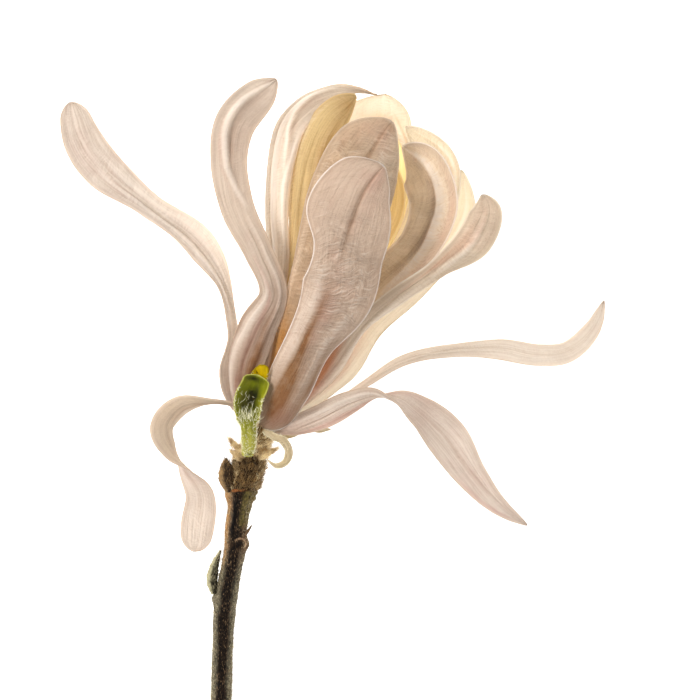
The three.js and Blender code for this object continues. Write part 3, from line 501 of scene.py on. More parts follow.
def blade_marks(surface, s, v, number):
    """The blade's own coordinates. place holds v, s and which face; grain holds millimetres
    across and along, and a number that sets this blade's pattern apart. Its maker adds form: the
    distance to the margin, 0.5 plus the folds' height, and the wrinkles' or lumps' strength, and
    tone: the amounts of three kinds of patch."""
    across, along = surface_lengths(surface)
    grain = np.stack([across, along, np.full_like(across, PATTERN_STEP * number)], -1)
    place = np.stack([*np.broadcast_arrays(v[None], s[:, None]), np.ones_like(across)], -1)
    return {"grain": grain, "place": place}


# ---- round bodies ------------------------------------------------------------------------------
CAP_CENTRE = 0.02  # the smallest ring of an end, as a share of the end's own


def tube_surface(path, steps, around):
    """A round body along [x, y, z, radius] stations: its middle line, the directions out of it, its
    radius, s along it, the angle round it, 0 to the right and a quarter turn on top, and the
    line's direction. The last point of a ring is its first."""
    s = np.linspace(0, 1, steps + 1)
    values, along, lift, side = frames_at(np.array(path, float), s)
    turn = np.linspace(0, 2 * np.pi, around + 1)
    outward = (np.cos(turn)[None, :, None] * side[:, None]
               + np.sin(turn)[None, :, None] * lift[:, None])
    return values[:, None, :3], outward, values[:, 3:4], s, turn, along


def tube_body(points, cap_rings=3):
    """A closed body from rings of points whose last column repeats the first: the columns are
    joined round, and each end is filled by rings that shrink to a small face in its middle."""
    rings = points[:, :-1]
    start, end = rings[0].mean(axis=0), rings[-1].mean(axis=0)
    shares = np.linspace(1, CAP_CENTRE, cap_rings + 1)[1:]
    caps_start = [start + (rings[0] - start) * share for share in shares[::-1]]
    caps_end = [end + (rings[-1] - end) * share for share in shares]
    stack = np.concatenate([caps_start, rings, caps_end])
    count, around = stack.shape[:2]
    index = np.arange(count * around).reshape(count, around)
    right = np.roll(index, -1, axis=1)
    faces = np.stack([index[:-1], right[:-1], right[1:], index[1:]], -1).reshape(-1, 4)
    ends = [index[0][::-1].tolist(), index[-1].tolist()]
    return stack, faces.tolist() + ends


def plain_tube(path, steps, around):
    """A closed round body along a path, with nothing on it."""
    centre, outward, radius, *_ = tube_surface(path, steps, around)
    return tube_body(centre + outward * radius[..., None])


# ---- hairs and points --------------------------------------------------------------------------
def sprouts(roots, directions, lengths, widths, sides, bend):
    """Many slim closed bodies, one from each root.

    The line of each is root + length * (t * direction + t^2 * bend), and widths, shared by all,
    are the radii at even steps of t from 0 to 1.
    """
    t = np.linspace(0, 1, len(widths))
    bend = np.broadcast_to(bend, directions.shape)
    line = t[None, :, None] * directions[:, None] + (t**2)[None, :, None] * bend[:, None]
    line = roots[:, None] + line * lengths[:, None, None]
    first = unit(np.cross(directions, [0.31, 0.52, 0.8]))
    second = np.cross(directions, first)
    turn = 2 * np.pi * np.arange(sides) / sides
    ring = (np.cos(turn)[None, :, None] * first[:, None]
            + np.sin(turn)[None, :, None] * second[:, None])
    points = line[:, :, None] + widths[None, :, None, None] * ring[:, None]
    points[..., 2] = np.maximum(points[..., 2], 0.0)
    each = len(widths) * sides
    index = np.arange(each).reshape(len(widths), sides)
    right = np.roll(index, -1, axis=1)
    faces = np.stack([index[:-1], right[:-1], right[1:], index[1:]], -1).reshape(-1, 4)
    offsets = each * np.arange(len(roots))
    walls = (faces[None] + offsets[:, None, None]).reshape(-1, 4).tolist()
    ends = np.stack([index[0][::-1], index[-1]])
    caps = (ends[None] + offsets[:, None, None]).reshape(-1, sides).tolist()
    return points, walls + caps


# ---- shader maths ------------------------------------------------------------------------------
class Value:
    """A node's output, on which Python's operators add Math nodes."""

    def __init__(self, finish, socket):
        self.finish, self.socket = finish, socket

    def __add__(self, other):
        return self.finish.maths("ADD", self, other)

    def __radd__(self, other):
        return self.finish.maths("ADD", other, self)

    def __sub__(self, other):
        return self.finish.maths("SUBTRACT", self, other)

    def __rsub__(self, other):
        return self.finish.maths("SUBTRACT", other, self)

    def __mul__(self, other):
        return self.finish.maths("MULTIPLY", self, other)

    def __rmul__(self, other):
        return self.finish.maths("MULTIPLY", other, self)

    def __pow__(self, other):
        return self.finish.maths("POWER", self, other)

    def __abs__(self):
        return self.finish.maths("ABSOLUTE", self)

    def between(self, low, high):
        """0 at low, 1 at high, and smooth in between."""
        sockets = {"Value": self, "From Min": low, "From Max": high}
        return self.finish.node(
            "ShaderNodeMapRange", {"interpolation_type": "SMOOTHSTEP"}, sockets)


class Finish:
    """A material, its nodes, and the helpers that add them."""

    def __init__(self, name):
        self.material = bpy.data.materials.new(name)
        self.material.use_nodes = True
        self.tree = self.material.node_tree
        self.tree.nodes.clear()

    def node(self, kind, settings=None, sockets=None, out=0):
        """Adds a node: its settings first, then its sockets' values or links."""
        node = self.tree.nodes.new(kind)
        for name, value in (settings or {}).items():
            setattr(node, name, value)
        for name, value in (sockets or {}).items():
            if isinstance(value, Value):
                self.tree.links.new(value.socket, node.inputs[name])
            else:
                node.inputs[name].default_value = value
        return Value(self, node.outputs[out]) if node.outputs else None

    def maths(self, operation, *values):
        """A Math node on numbers and values."""
        return self.node("ShaderNodeMath", {"operation": operation}, dict(enumerate(values)))

    def mix(self, factor, a, b, blend="MIX"):
        """The colour a where factor is 0, and b (or a blended with b) where it is 1."""
        settings = {"data_type": "RGBA", "blend_type": blend, "clamp_factor": True}
        return self.node("ShaderNodeMix", settings, {0: factor, 6: a, 7: b}, out=2)

    def tinted(self, colour, tint):
        """The colour multiplied by the tint."""
        return self.mix(1.0, colour, tint, "MULTIPLY")

    def mark(self, name):
        """The three numbers of a piece's own attribute."""
        vector = self.node("ShaderNodeAttribute", {"attribute_name": name}, out=1)
        return self.parts(vector)

    def place(self):
        """Object coordinates in millimetres."""
        vector = self.node("ShaderNodeTexCoord", out=3)
        sockets = {0: vector, "Scale": 1 / MM}
        return self.parts(self.node("ShaderNodeVectorMath", {"operation": "SCALE"}, sockets))

    def parts(self, vector):
        """A vector's three numbers."""
        split = self.node("ShaderNodeSeparateXYZ", sockets={0: vector}).socket.node
        return [Value(self, socket) for socket in split.outputs]

    def vector(self, x, y, z):
        """A vector from three numbers or values."""
        return self.node("ShaderNodeCombineXYZ", sockets={0: x, 1: y, 2: z})

    def noise(self, x, y, z, detail=3.0, roughness=0.5, distortion=0.0):
        """Noise of about 0.2 to 0.8, whose grains are 1 apart."""
        sockets = {"Vector": self.vector(x, y, z), "Scale": 1.0, "Detail": detail,
                   "Roughness": roughness, "Distortion": distortion}
        return self.node("ShaderNodeTexNoise", sockets=sockets)

    def cells(self, x, y, z):
        """How far each point is from the border of its cell, in cells 1 apart."""
        return self.node("ShaderNodeTexVoronoi", {"feature": "DISTANCE_TO_EDGE"},
                         {"Vector": self.vector(x, y, z), "Scale": 1.0})

    def bump(self, height, distance):
        """The surface's direction, tilted as by a relief of height times distance millimetres."""
        return self.node("ShaderNodeBump", sockets={"Height": height, "Distance": distance * MM})

    def skin(self, colour, roughness, gloss, normal=None, glow=None, strength=1.0):
        """A skin of a colour, with gloss as the strength of its mirror light. glow is the colour
        of the light that it gives off."""
        sockets = {"Base Color": colour, "Roughness": roughness, "Specular IOR Level": gloss}
        if normal:
            sockets["Normal"] = normal
        if glow:
            sockets.update({"Emission Color": glow, "Emission Strength": strength})
        return self.node("ShaderNodeBsdfPrincipled", sockets=sockets)

    def thin(self, skin, through, glow):
        """The material of a skin that lets a share of the light through, in the colour glow."""
        light = self.node("ShaderNodeBsdfTranslucent", sockets={"Color": glow})
        return self.done(self.node("ShaderNodeMixShader", sockets={0: through, 1: skin, 2: light}))

    def done(self, surface):
        """The material, once its surface is known."""
        self.node("ShaderNodeOutputMaterial", sockets={"Surface": surface})
        return self.material


def ink(red, green, blue):
    """A colour as a screen shows it, 0 to 255, turned into light."""
    share = np.array([red, green, blue]) / 255
    light = np.where(share <= 0.04045, share / 12.92, ((share + 0.055) / 1.055) ** 2.4)
    return (*light.tolist(), 1.0)


# ---- finishes ----------------------------------------------------------------------------------
HAIRY_FROM = -16.3  # how far up the twig its long hairs start
KNOT = (-18.9, -27.3)
GLOW = (0.99, 0.925, 0.85, 1.0)
LEAF_GLOW = (0.95, 0.88, 0.35, 1.0)
HAIR_GLOW = (1.0, 0.95, 0.78, 1.0)
ROSY_TINT, DARK_TINT, VEIN_TINT = (
    (0.95, 0.72, 0.72, 1.0), (0.52, 0.42, 0.35, 1.0), (0.5, 0.5, 0.35, 1.0))
BLACK, WHITE = (0, 0, 0, 1), (1, 1, 1, 1)


def tepal_finish(name, outer, inner, foot, rim, rim_amount=0.6, through=0.38, glow=GLOW,
                 lit=0.0, veins=0.22):
    """Petal skin: veins that run together along the tepal, fibres between them, fine wrinkles across
    it, painted shade in its grooves, wrinkles and shade patches, most at a darker foot and in the foot
    tint, pink patches, painted light in its cream patches, on its paler ridges and wrinkles, and a
    thin rim in a painted glow of light through the margin. lit is how much light the whole skin
    gives off, a painted glow."""
    finish = Finish(name)
    across, along, number = finish.mark("grain")
    v, _, outside = finish.mark("place")
    edge, relief, crease = finish.mark("form")
    shade, pink, cream = finish.mark("tone")
    drift = finish.noise(across * 0.12, along * 0.06, number) - 0.5
    sway = finish.noise(across * 0.2, along * 0.2, number + 5, detail=1.0) - 0.5
    vein = finish.noise(v * 8 + drift * 4, along * 0.03, number, detail=2.0)
    vein = (1 - abs(vein * 2 - 1)) ** 6.0
    fibre = finish.noise(across * 3.4 + drift * 5, along * 0.16 + across * 0.1, number, detail=4.0)
    wrinkle = finish.noise(
        across * 0.42 + sway * 4 + along * 0.1, along * 2.9 + sway * 13 - across * 0.9, number,
        detail=3.0, roughness=0.6, distortion=0.3)
    pucker = finish.noise(across * 1.4 + sway * 4, along * 3.4 + sway * 9, number, detail=4.0)
    speck = finish.noise(across * 5.0, along * 2.6, number, detail=4.0, roughness=0.7)
    mottle = finish.noise(across * 0.3, along * 0.16, number, detail=5.0, roughness=0.65)

    colour = finish.mix(outside, inner, outer)
    rosy = finish.tinted(colour, ROSY_TINT)
    colour = finish.mix(pink + (mottle - 0.54) * 1.1, colour, rosy)
    # Painted shade: grooves and the hollows of the wrinkles are darker, with the real veins, fibres
    # and specks.
    lines_and_groove_shade = vein * veins + (fibre - 0.5) * 1.2 + (speck - 0.5) * 0.9 + (0.5 - relief) * 1.2
    lines_and_groove_shade = lines_and_groove_shade + crease * ((0.5 - wrinkle) * 2.0 + (pucker - 0.5) * 1.0)
    darker = finish.tinted(colour, DARK_TINT)
    colour = finish.mix(lines_and_groove_shade, colour, darker)
    # Painted light: ridges, the crests of the wrinkles and the cream patches are paler.
    wrinkle_light = crease * (wrinkle - 0.5) * 2.6
    colour = finish.mix((relief - 0.55) * 1.4 + cream + wrinkle_light, colour, ink(250, 240, 228))
    # Painted shade: the shade patches and streaks, multiplied by the foot tint.
    colour = finish.mix(shade + (mottle - 0.5) * shade, colour, finish.tinted(colour, foot))
    inside_rim = edge.between(0.2, 0.45) * (1 - edge.between(0.5, 1.1))
    colour = finish.mix(inside_rim * 0.35, colour, darker)
    # Painted light: the thin rim glows as a margin does with light behind it.
    colour = finish.mix((1 - edge.between(0.12, 0.38)) * rim_amount, colour, rim)

    height = vein * -0.3 + fibre * 0.4 + crease * (wrinkle * 2.0 + pucker * 0.6)
    # Painted glow: the skin gives off its own colour by lit, and more in the cream patches.
    shine = finish.mix(lit + cream * 0.2, BLACK, colour)
    skin = finish.skin(colour, 0.5 + fibre * 0.2, 0.08, finish.bump(height, 0.28), shine)
    share = through + (1 - edge.between(0.0, 0.9)) * 0.2 - shade * 0.25 - vein * 0.05
    return finish.thin(skin, share + (0.5 - mottle) * 0.15, glow)


def bark_finish():
    """Dark bark, streaked along, with pale flecks and painted shade down its middle: painted light on
    its sides, silvery low down, and higher up tan painted light on its left side with a black crack
    beside it, an olive right side, a pale bracket round the knot, an orange ring at the last node, and
    dark skin under the hairs above it."""
    finish = Finish("bark")
    x, y, z = finish.place()
    side, _, _ = finish.mark("form")
    crack = finish.cells(x * 1.5, y * 0.4, z * 1.5).between(0.0, 0.14)
    streak = finish.noise(x * 3.4, y * 0.55, z * 3.4, detail=6.0, roughness=0.65)
    grain = finish.noise(x * 3.0, y * 2.2, z * 3.0, detail=5.0, roughness=0.6)
    patch = finish.noise(x * 0.5, y * 0.2, z * 0.5, detail=4.0)
    upper = y.between(-34.0, -27.0)
    blotch = finish.noise(x * 1.3, y * 0.7, z * 1.3, detail=5.0, roughness=0.7)
    fleck = finish.noise(x * 4.2, y * 1.0, z * 4.2, detail=4.0, roughness=0.7)
    # Painted shade down the twig's middle, less where it is higher up.
    centre = 1 - abs(side + 0.1 + (patch - 0.5) * 0.5).between(0.15, 0.75)
    colour = finish.mix((streak - 0.42) * 3.0, ink(16, 10, 6), ink(88, 64, 44))
    colour = finish.mix((blotch - 0.48) * 4.0, colour, ink(20, 13, 9))
    colour = finish.mix(centre * (1 - upper * 0.6) * 0.6, colour, ink(18, 12, 8))
    colour = finish.mix((fleck - 0.56) * 5.0, colour, ink(156, 132, 104))
    # Painted light on both sides of the twig, silvery low down and tan higher up.
    sides = abs(side + (patch - 0.5) * 0.6).between(0.3, 0.95)
    side_light_colour = finish.mix(upper, ink(156, 146, 118), ink(150, 120, 90))
    colour = finish.mix(sides * (grain * 3.0 - 0.6), colour, side_light_colour)
    # Painted light on the left edge higher up, in tan.
    left = (0 - side).between(0.5, 0.95) * upper
    colour = finish.mix(left * (streak * 2.6 - 0.5), colour, ink(218, 166, 108))
    hairy = y.between(-16.9, -15.9)
    green = side.between(0.0, 0.5) * y.between(-24.5, -22.5) * (1 - hairy)
    colour = finish.mix(green * (grain * 3.0 - 0.7), colour, ink(134, 120, 66))
    colour = finish.mix((blotch - 0.52) * 5.0, colour, ink(20, 13, 8))
    colour = finish.mix((fleck - 0.57) * 6.0, colour, ink(176, 142, 104))
    seam = 1 - abs(side + 0.33 + (patch - 0.5) * 0.5).between(0.08, 0.24)
    seam = seam * y.between(-26.5, -25.0) * (1 - y.between(-19.0, -18.0))
    colour = finish.mix(seam * 0.95, colour, ink(12, 7, 5))
    ring = 1 - abs(y - HAIRY_FROM + (patch - 0.5)).between(0.08, 0.38)
    ring = ring * (0.5 - side).between(0.0, 0.8)
    colour = finish.mix(hairy * 0.85, colour, finish.mix(grain, ink(12, 7, 3), ink(74, 50, 24)))
    colour = finish.mix(ring * (0.4 + grain * 0.8), colour, ink(186, 116, 64))
    spot = 1 - finish.cells(x * 0.42, y * 0.3, z * 0.42).between(0.02, 0.07)
    colour = finish.mix(spot * 0.3 * sides, colour, ink(182, 168, 140))
    knot = (abs(x - KNOT[0]) ** 2.0 + abs(y - KNOT[1]) ** 2.0) ** 0.5
    bracket = (1 - abs(knot - 1.15).between(0.05, 0.32)) * (x + y + 46.6).between(0.0, 0.7)
    colour = finish.mix(bracket * 0.75, colour, ink(206, 168, 132))
    colour = finish.mix((1 - knot.between(0.3, 0.9)) * 0.8, colour, ink(18, 10, 8))
    colour = finish.mix((1 - crack) * 0.35, colour, ink(16, 10, 8))
    normal = finish.bump(crack * 0.5 + streak * 1.2 + grain * 0.4 - seam * 0.8, 0.5)
    return finish.done(finish.skin(colour, 0.6 + grain * 0.3, 0.12, normal))


def stalk_finish():
    """Brown skin with cream streaks and small dark bumps, under the hairs."""
    finish = Finish("stalk_skin")
    x, y, z = finish.place()
    streak = finish.noise(x * 1.8, y * 0.6, z * 1.8, detail=5.0)
    small = finish.noise(x * 5.0, y * 5.0, z * 5.0, detail=2.0)
    colour = finish.mix((streak - 0.3) * 1.8, ink(84, 60, 32), ink(176, 150, 102))
    colour = finish.mix((small - 0.5) * 1.5, colour, ink(50, 34, 18))
    normal = finish.bump(streak + small * 0.4, 0.25)
    return finish.done(finish.skin(colour, 0.65 + small * 0.2, 0.1, normal))


def bud_finish(name, dark, light, lit_side):
    """Streaked silk that lies along the bud, with painted light on its left side and a dark line down
    it.
    """
    finish = Finish(name)
    x, y, z = finish.place()
    side, _, _ = finish.mark("form")
    strand = finish.noise(x * 6.0, y * 0.8, z * 6.0, detail=5.0, roughness=0.65)
    patch = finish.noise(x * 0.9, y * 0.7, z * 0.9, detail=2.0)
    # Painted light on the left, where side is below lit_side.
    lit = (lit_side - side + (patch - 0.5)).between(-0.4, 1.0)
    colour = finish.mix((strand - 0.42) * 2.6 + lit - 0.15, dark, light)
    line = 1 - abs(side + 0.15 + (patch - 0.5) * 0.5).between(0.02, 0.13)
    colour = finish.mix(line * 0.7, colour, ink(30, 20, 12))
    return finish.done(finish.skin(colour, 0.5 + strand * 0.25, 0.12, finish.bump(strand, 0.4)))


def green_finish(name, upper, lower, rim, deep, pale, warm, through, glow=LEAF_GLOW):
    """Leaf and scale skin: veined, with soft pale and warm patches of its own, painted shade in deep
    patches and as a dark line in its grooves, and lighter margins."""
    finish = Finish(name)
    across, along, number = finish.mark("grain")
    _, _, outside = finish.mark("place")
    edge, relief, _ = finish.mark("form")
    in_shade, in_pale, in_warm = finish.mark("tone")
    vein = finish.noise(across * 2.2, along * 0.5, number, detail=4.0)
    patch = finish.noise(across * 0.9, along * 0.6, number, detail=4.0, roughness=0.6)
    colour = finish.mix(outside, lower, upper)
    colour = finish.mix(in_warm + (patch - 0.5) * in_warm, colour, warm)
    colour = finish.mix(in_pale + (patch - 0.5) * in_pale * 1.4, colour, pale)
    colour = finish.mix((patch - 0.5) * 1.5, colour, finish.mix(0.5, colour, rim))
    colour = finish.mix((vein - 0.45) * 2.4, colour, finish.tinted(colour, VEIN_TINT))
    # Painted shade: the shade patches take the deep colour.
    colour = finish.mix(in_shade + (patch - 0.5) * in_shade * 2.0, colour, deep)
    colour = finish.mix((1 - edge.between(0.08, 0.4)) * 0.65, colour, rim)
    # Painted shade in the grooves, where the folds sink.
    colour = finish.mix((1 - relief.between(0.22, 0.42)) * 0.85, colour, deep)
    skin = finish.skin(colour, 0.5 + vein * 0.2, 0.15, finish.bump(vein * 0.7 + patch, 0.25))
    return finish.thin(skin, through + patch * 0.1, glow)


def point_finish(name, foot, tip, low, high):
    """The stamens' and carpels' skin, whose colour changes along the flower's axis."""
    finish = Finish(name)
    x, y, z = finish.place()
    rising = (x * FLOWER_AXIS[0] + y * FLOWER_AXIS[1]
              - float(FLOWER_BASE @ FLOWER_AXIS)).between(low, high)
    grain = finish.noise(x * 3.0, y * 3.0, z * 3.0, detail=3.0)
    colour = finish.mix(rising + (grain - 0.5) * 0.6, foot, tip)
    return finish.done(finish.skin(colour, 0.5 + grain * 0.2, 0.5, finish.bump(grain, 0.15)))


def hair_finish(name, foot, tip, lit=0.35, through=0.35):
    """Fine hair, whose colour runs between foot and tip in soft patches. lit is how much light it
    gives off, which keeps single hairs pale where they lie in shade."""
    finish = Finish(name)
    x, y, z = finish.place()
    shade = finish.noise(x * 0.8, y * 0.8, z * 0.8, detail=2.0)
    colour = finish.mix((shade - 0.3) * 2.2, foot, tip)
    skin = finish.skin(colour, 0.35 + shade * 0.1, 0.3, glow=colour, strength=lit)
    return finish.thin(skin, through + shade * 0.1, HAIR_GLOW)


# Rim colours: the painted glow of a thin margin with light behind it.
WHITE_RIM, TAN_RIM, GREY_RIM, GOLD_RIM = (
    ink(255, 246, 240), ink(205, 176, 150), ink(206, 188, 176), ink(240, 206, 160))
# CREAM and PALE are tepal colours; the third, gold, is partly painted light, the glow of light come
# through the tepals below.
CREAM, PALE, BACKLIT_GOLD = ink(244, 234, 220), ink(252, 240, 216), ink(244, 218, 164)
# Foot tints: what painted shade multiplies a tepal's colour by.
BROWN_SHADE_TINT, ROSE_SHADE_TINT, AMBER_SHADE_TINT = (
    (0.36, 0.2, 0.11, 1), (0.66, 0.43, 0.33, 1), (0.72, 0.46, 0.2, 1))
GOLD_GLOW = (1.0, 0.89, 0.6, 1.0)
PALE_GLOW = (1.0, 0.95, 0.84, 1.0)
# Each tepal's colours: outer and inner face, foot, the tint of its painted shade, rim, the colour of
# the painted glow at its margin, and how much light comes through it. lit is a painted glow that the
# skin gives off.
TEPAL_COLOURS = {
    "front": dict(outer=ink(208, 184, 164), inner=CREAM, foot=(0.42, 0.27, 0.15, 1), rim=WHITE_RIM,
                  rim_amount=0.95, through=0.3),
    "upper_front": dict(outer=ink(208, 186, 160), inner=CREAM, foot=(0.7, 0.42, 0.17, 1),
                        rim=GREY_RIM, through=0.35),
    "left_upright": dict(outer=ink(206, 188, 172), inner=CREAM, foot=BROWN_SHADE_TINT, rim=TAN_RIM),
    "left_droop": dict(outer=ink(220, 200, 172), inner=ink(232, 219, 208), foot=ROSE_SHADE_TINT,
                       rim=TAN_RIM),
    "far_left": dict(outer=CREAM, inner=ink(221, 210, 200), foot=ROSE_SHADE_TINT, rim=TAN_RIM,
                     veins=0.45),
    "right_spread": dict(outer=CREAM, inner=ink(247, 239, 228), foot=ROSE_SHADE_TINT, rim=TAN_RIM,
                         through=0.5, veins=0.4),
    "right_droop": dict(outer=ink(232, 216, 202), inner=ink(238, 224, 212), foot=ROSE_SHADE_TINT,
                        rim=TAN_RIM, veins=0.4),
    "upper_left": dict(outer=ink(224, 210, 192), inner=PALE, foot=BROWN_SHADE_TINT, rim=GOLD_RIM),
    "inner_left": dict(outer=ink(214, 190, 144), inner=BACKLIT_GOLD, foot=AMBER_SHADE_TINT, rim=GOLD_RIM,
                       glow=GOLD_GLOW, through=0.34),
    "back": dict(outer=CREAM, inner=PALE, foot=AMBER_SHADE_TINT, rim=GOLD_RIM, through=0.5,
                 glow=PALE_GLOW),
    "right_crescent": dict(outer=ink(238, 216, 184), inner=CREAM, foot=BROWN_SHADE_TINT, rim=WHITE_RIM,
                           through=0.42),
    "right_back": dict(outer=CREAM, inner=ink(242, 228, 196), foot=AMBER_SHADE_TINT, rim=WHITE_RIM,
                       through=0.5, glow=PALE_GLOW, lit=0.08),
    "far_right_back": dict(outer=CREAM, inner=ink(252, 238, 200), foot=AMBER_SHADE_TINT,
                           rim=WHITE_RIM, through=0.6, glow=PALE_GLOW, lit=0.03),
    "right_hook": dict(outer=ink(214, 194, 174), inner=CREAM, foot=(0.95, 0.5, 0.32, 1),
                       rim=WHITE_RIM, through=0.38, glow=PALE_GLOW),
    "right_lower": dict(outer=CREAM, inner=CREAM, foot=ROSE_SHADE_TINT, rim=GOLD_RIM, through=0.65,
                        glow=PALE_GLOW),
    "inner_right": dict(outer=BACKLIT_GOLD, inner=ink(255, 246, 188), foot=AMBER_SHADE_TINT, rim=GOLD_RIM,
                        through=0.6, glow=(1.0, 0.93, 0.7, 1.0), lit=0.5),
    "inner_heart": dict(outer=ink(236, 212, 160), inner=BACKLIT_GOLD, foot=AMBER_SHADE_TINT, rim=WHITE_RIM,
                        through=0.5, glow=GOLD_GLOW, lit=0.22),
}

# Soft patches on the tepals: kind, way along, place across, how far each way, and amount. Shade
# patches are painted shade, and cream patches painted light.
PATCHES = {
    "front": [("shade", 0.08, 0.1, 0.16, 1.2, 0.6), ("shade", 0.2, -0.1, 0.08, 0.3, 0.4),
              ("shade", 0.27, 0.1, 0.18, 1.0, 0.32),
              ("pink", 0.5, -0.1, 0.14, 0.3, 0.5), ("pink", 0.95, 0.2, 0.1, 0.4, 0.4),
              ("pink", 0.08, 0.3, 0.1, 0.6, 0.6), ("wrinkle", 0.52, 0.35, 0.22, 0.7, 0.8),
              ("wrinkle", 0.68, -0.4, 0.1, 0.5, 0.6), ("cream", 0.35, -0.75, 0.3, 0.2, 0.12)],
    "upper_front": [("shade", 0.2, -0.6, 0.2, 1.4, 1.0), ("wrinkle", 0.6, 0.0, 0.3, 1.0, 0.6),
                    ("shade", 0.7, -0.6, 0.3, 0.5, 0.35), ("pink", 0.95, 0.0, 0.07, 0.8, 0.5),
                    ("wrinkle", 0.85, 0.3, 0.12, 0.9, 1.0), ("shade", 1.0, 0.3, 0.03, 0.5, 0.4)],
    "left_upright": [("shade", 0.12, 0.2, 0.18, 0.7, 0.75), ("shade", 0.82, 0.35, 0.12, 0.45, 0.3),
                     ("cream", 0.88, -0.55, 0.12, 0.2, 0.2)],
    "left_droop": [("shade", 0.06, 0.0, 0.1, 1.0, 0.5), ("shade", 0.35, 0.0, 0.15, 1.0, 0.2),
                   ("cream", 0.9, 0.0, 0.2, 0.8, 0.3), ("pink", 0.62, 0.0, 0.1, 0.8, 0.25)],
    "far_left": [("cream", 0.48, 0.95, 0.2, 0.42, 0.95), ("shade", 0.05, 0.0, 0.15, 1.0, 0.5),
                 ("pink", 0.85, -0.2, 0.2, 0.6, 0.2), ("wrinkle", 0.6, 0.0, 0.3, 1.0, 0.3)],
    "right_spread": [("cream", 0.3, -0.3, 0.15, 0.8, 0.5), ("shade", 0.05, 0.0, 0.1, 1.0, 0.4),
                     ("pink", 0.15, 0.2, 0.1, 0.8, 0.4)],
    "right_droop": [("pink", 0.25, 0.85, 0.2, 0.3, 1.0), ("shade", 0.05, 0.0, 0.1, 1.0, 0.4),
                    ("shade", 0.5, 0.0, 0.05, 1.0, 0.3), ("pink", 0.8, 0.3, 0.15, 0.6, 0.3),
                    ("cream", 0.2, -0.6, 0.2, 0.3, 0.2)],
    "upper_left": [("shade", 0.1, 0.3, 0.2, 1.0, 0.8), ("cream", 0.5, -0.8, 0.35, 0.3, 0.6),
                   ("cream", 0.55, 0.1, 0.16, 0.5, 0.7),
                   ("pink", 0.65, 0.3, 0.15, 0.3, 0.3), ("shade", 0.8, 0.5, 0.08, 0.3, 0.3)],
    "inner_left": [("shade", 0.1, 0.0, 0.28, 1.0, 0.8), ("shade", 0.75, 0.6, 0.3, 0.4, 0.35),
                   ("cream", 0.65, -0.7, 0.3, 0.25, 0.4), ("shade", 0.97, 0.0, 0.04, 1.0, 0.35)],
    "back": [("shade", 0.1, 0.0, 0.3, 1.0, 0.6), ("cream", 0.95, 0.0, 0.12, 1.0, 0.8),
             ("wrinkle", 0.9, 0.4, 0.15, 0.8, 0.6), ("shade", 0.93, 0.0, 0.018, 0.5, 0.45)],
    "right_crescent": [("shade", 0.1, 0.0, 0.25, 1.0, 0.7), ("wrinkle", 0.75, 0.0, 0.3, 1.0, 0.5),
                       ("shade", 0.75, -0.1, 0.15, 0.25, 0.25), ("shade", 0.78, 0.75, 0.2, 0.3, 0.22),
                       ("pink", 0.7, 0.7, 0.2, 0.3, 0.5), ("wrinkle", 0.75, 0.7, 0.2, 0.4, 0.1)],
    "right_hook": [("shade", 0.08, 0.0, 0.12, 1.0, 0.6),
                   ("shade", 0.8, -0.35, 0.15, 0.3, 0.35), ("pink", 0.92, 0.4, 0.1, 0.5, 0.4),
                   ("wrinkle", 0.85, 0.0, 0.15, 0.8, 0.5)],
    "right_lower": [("shade", 0.15, -0.5, 0.25, 0.5, 0.8), ("pink", 0.2, -0.3, 0.2, 0.4, 0.7),
                    ("cream", 0.6, 0.3, 0.4, 0.8, 0.5)],
    "right_back": [("shade", 0.15, 0.0, 0.25, 1.0, 0.4), ("wrinkle", 0.85, 0.0, 0.2, 1.0, 0.5),
                   ("cream", 0.85, 0.6, 0.2, 0.4, 0.4)],
    "far_right_back": [("cream", 0.6, 0.0, 0.4, 1.0, 0.5), ("shade", 0.1, 0.0, 0.2, 1.0, 0.4)],
    "inner_right": [("shade", 0.1, 0.0, 0.3, 1.0, 0.5)],
    "inner_heart": [("shade", 0.15, 0.0, 0.3, 1.0, 0.8)],
}
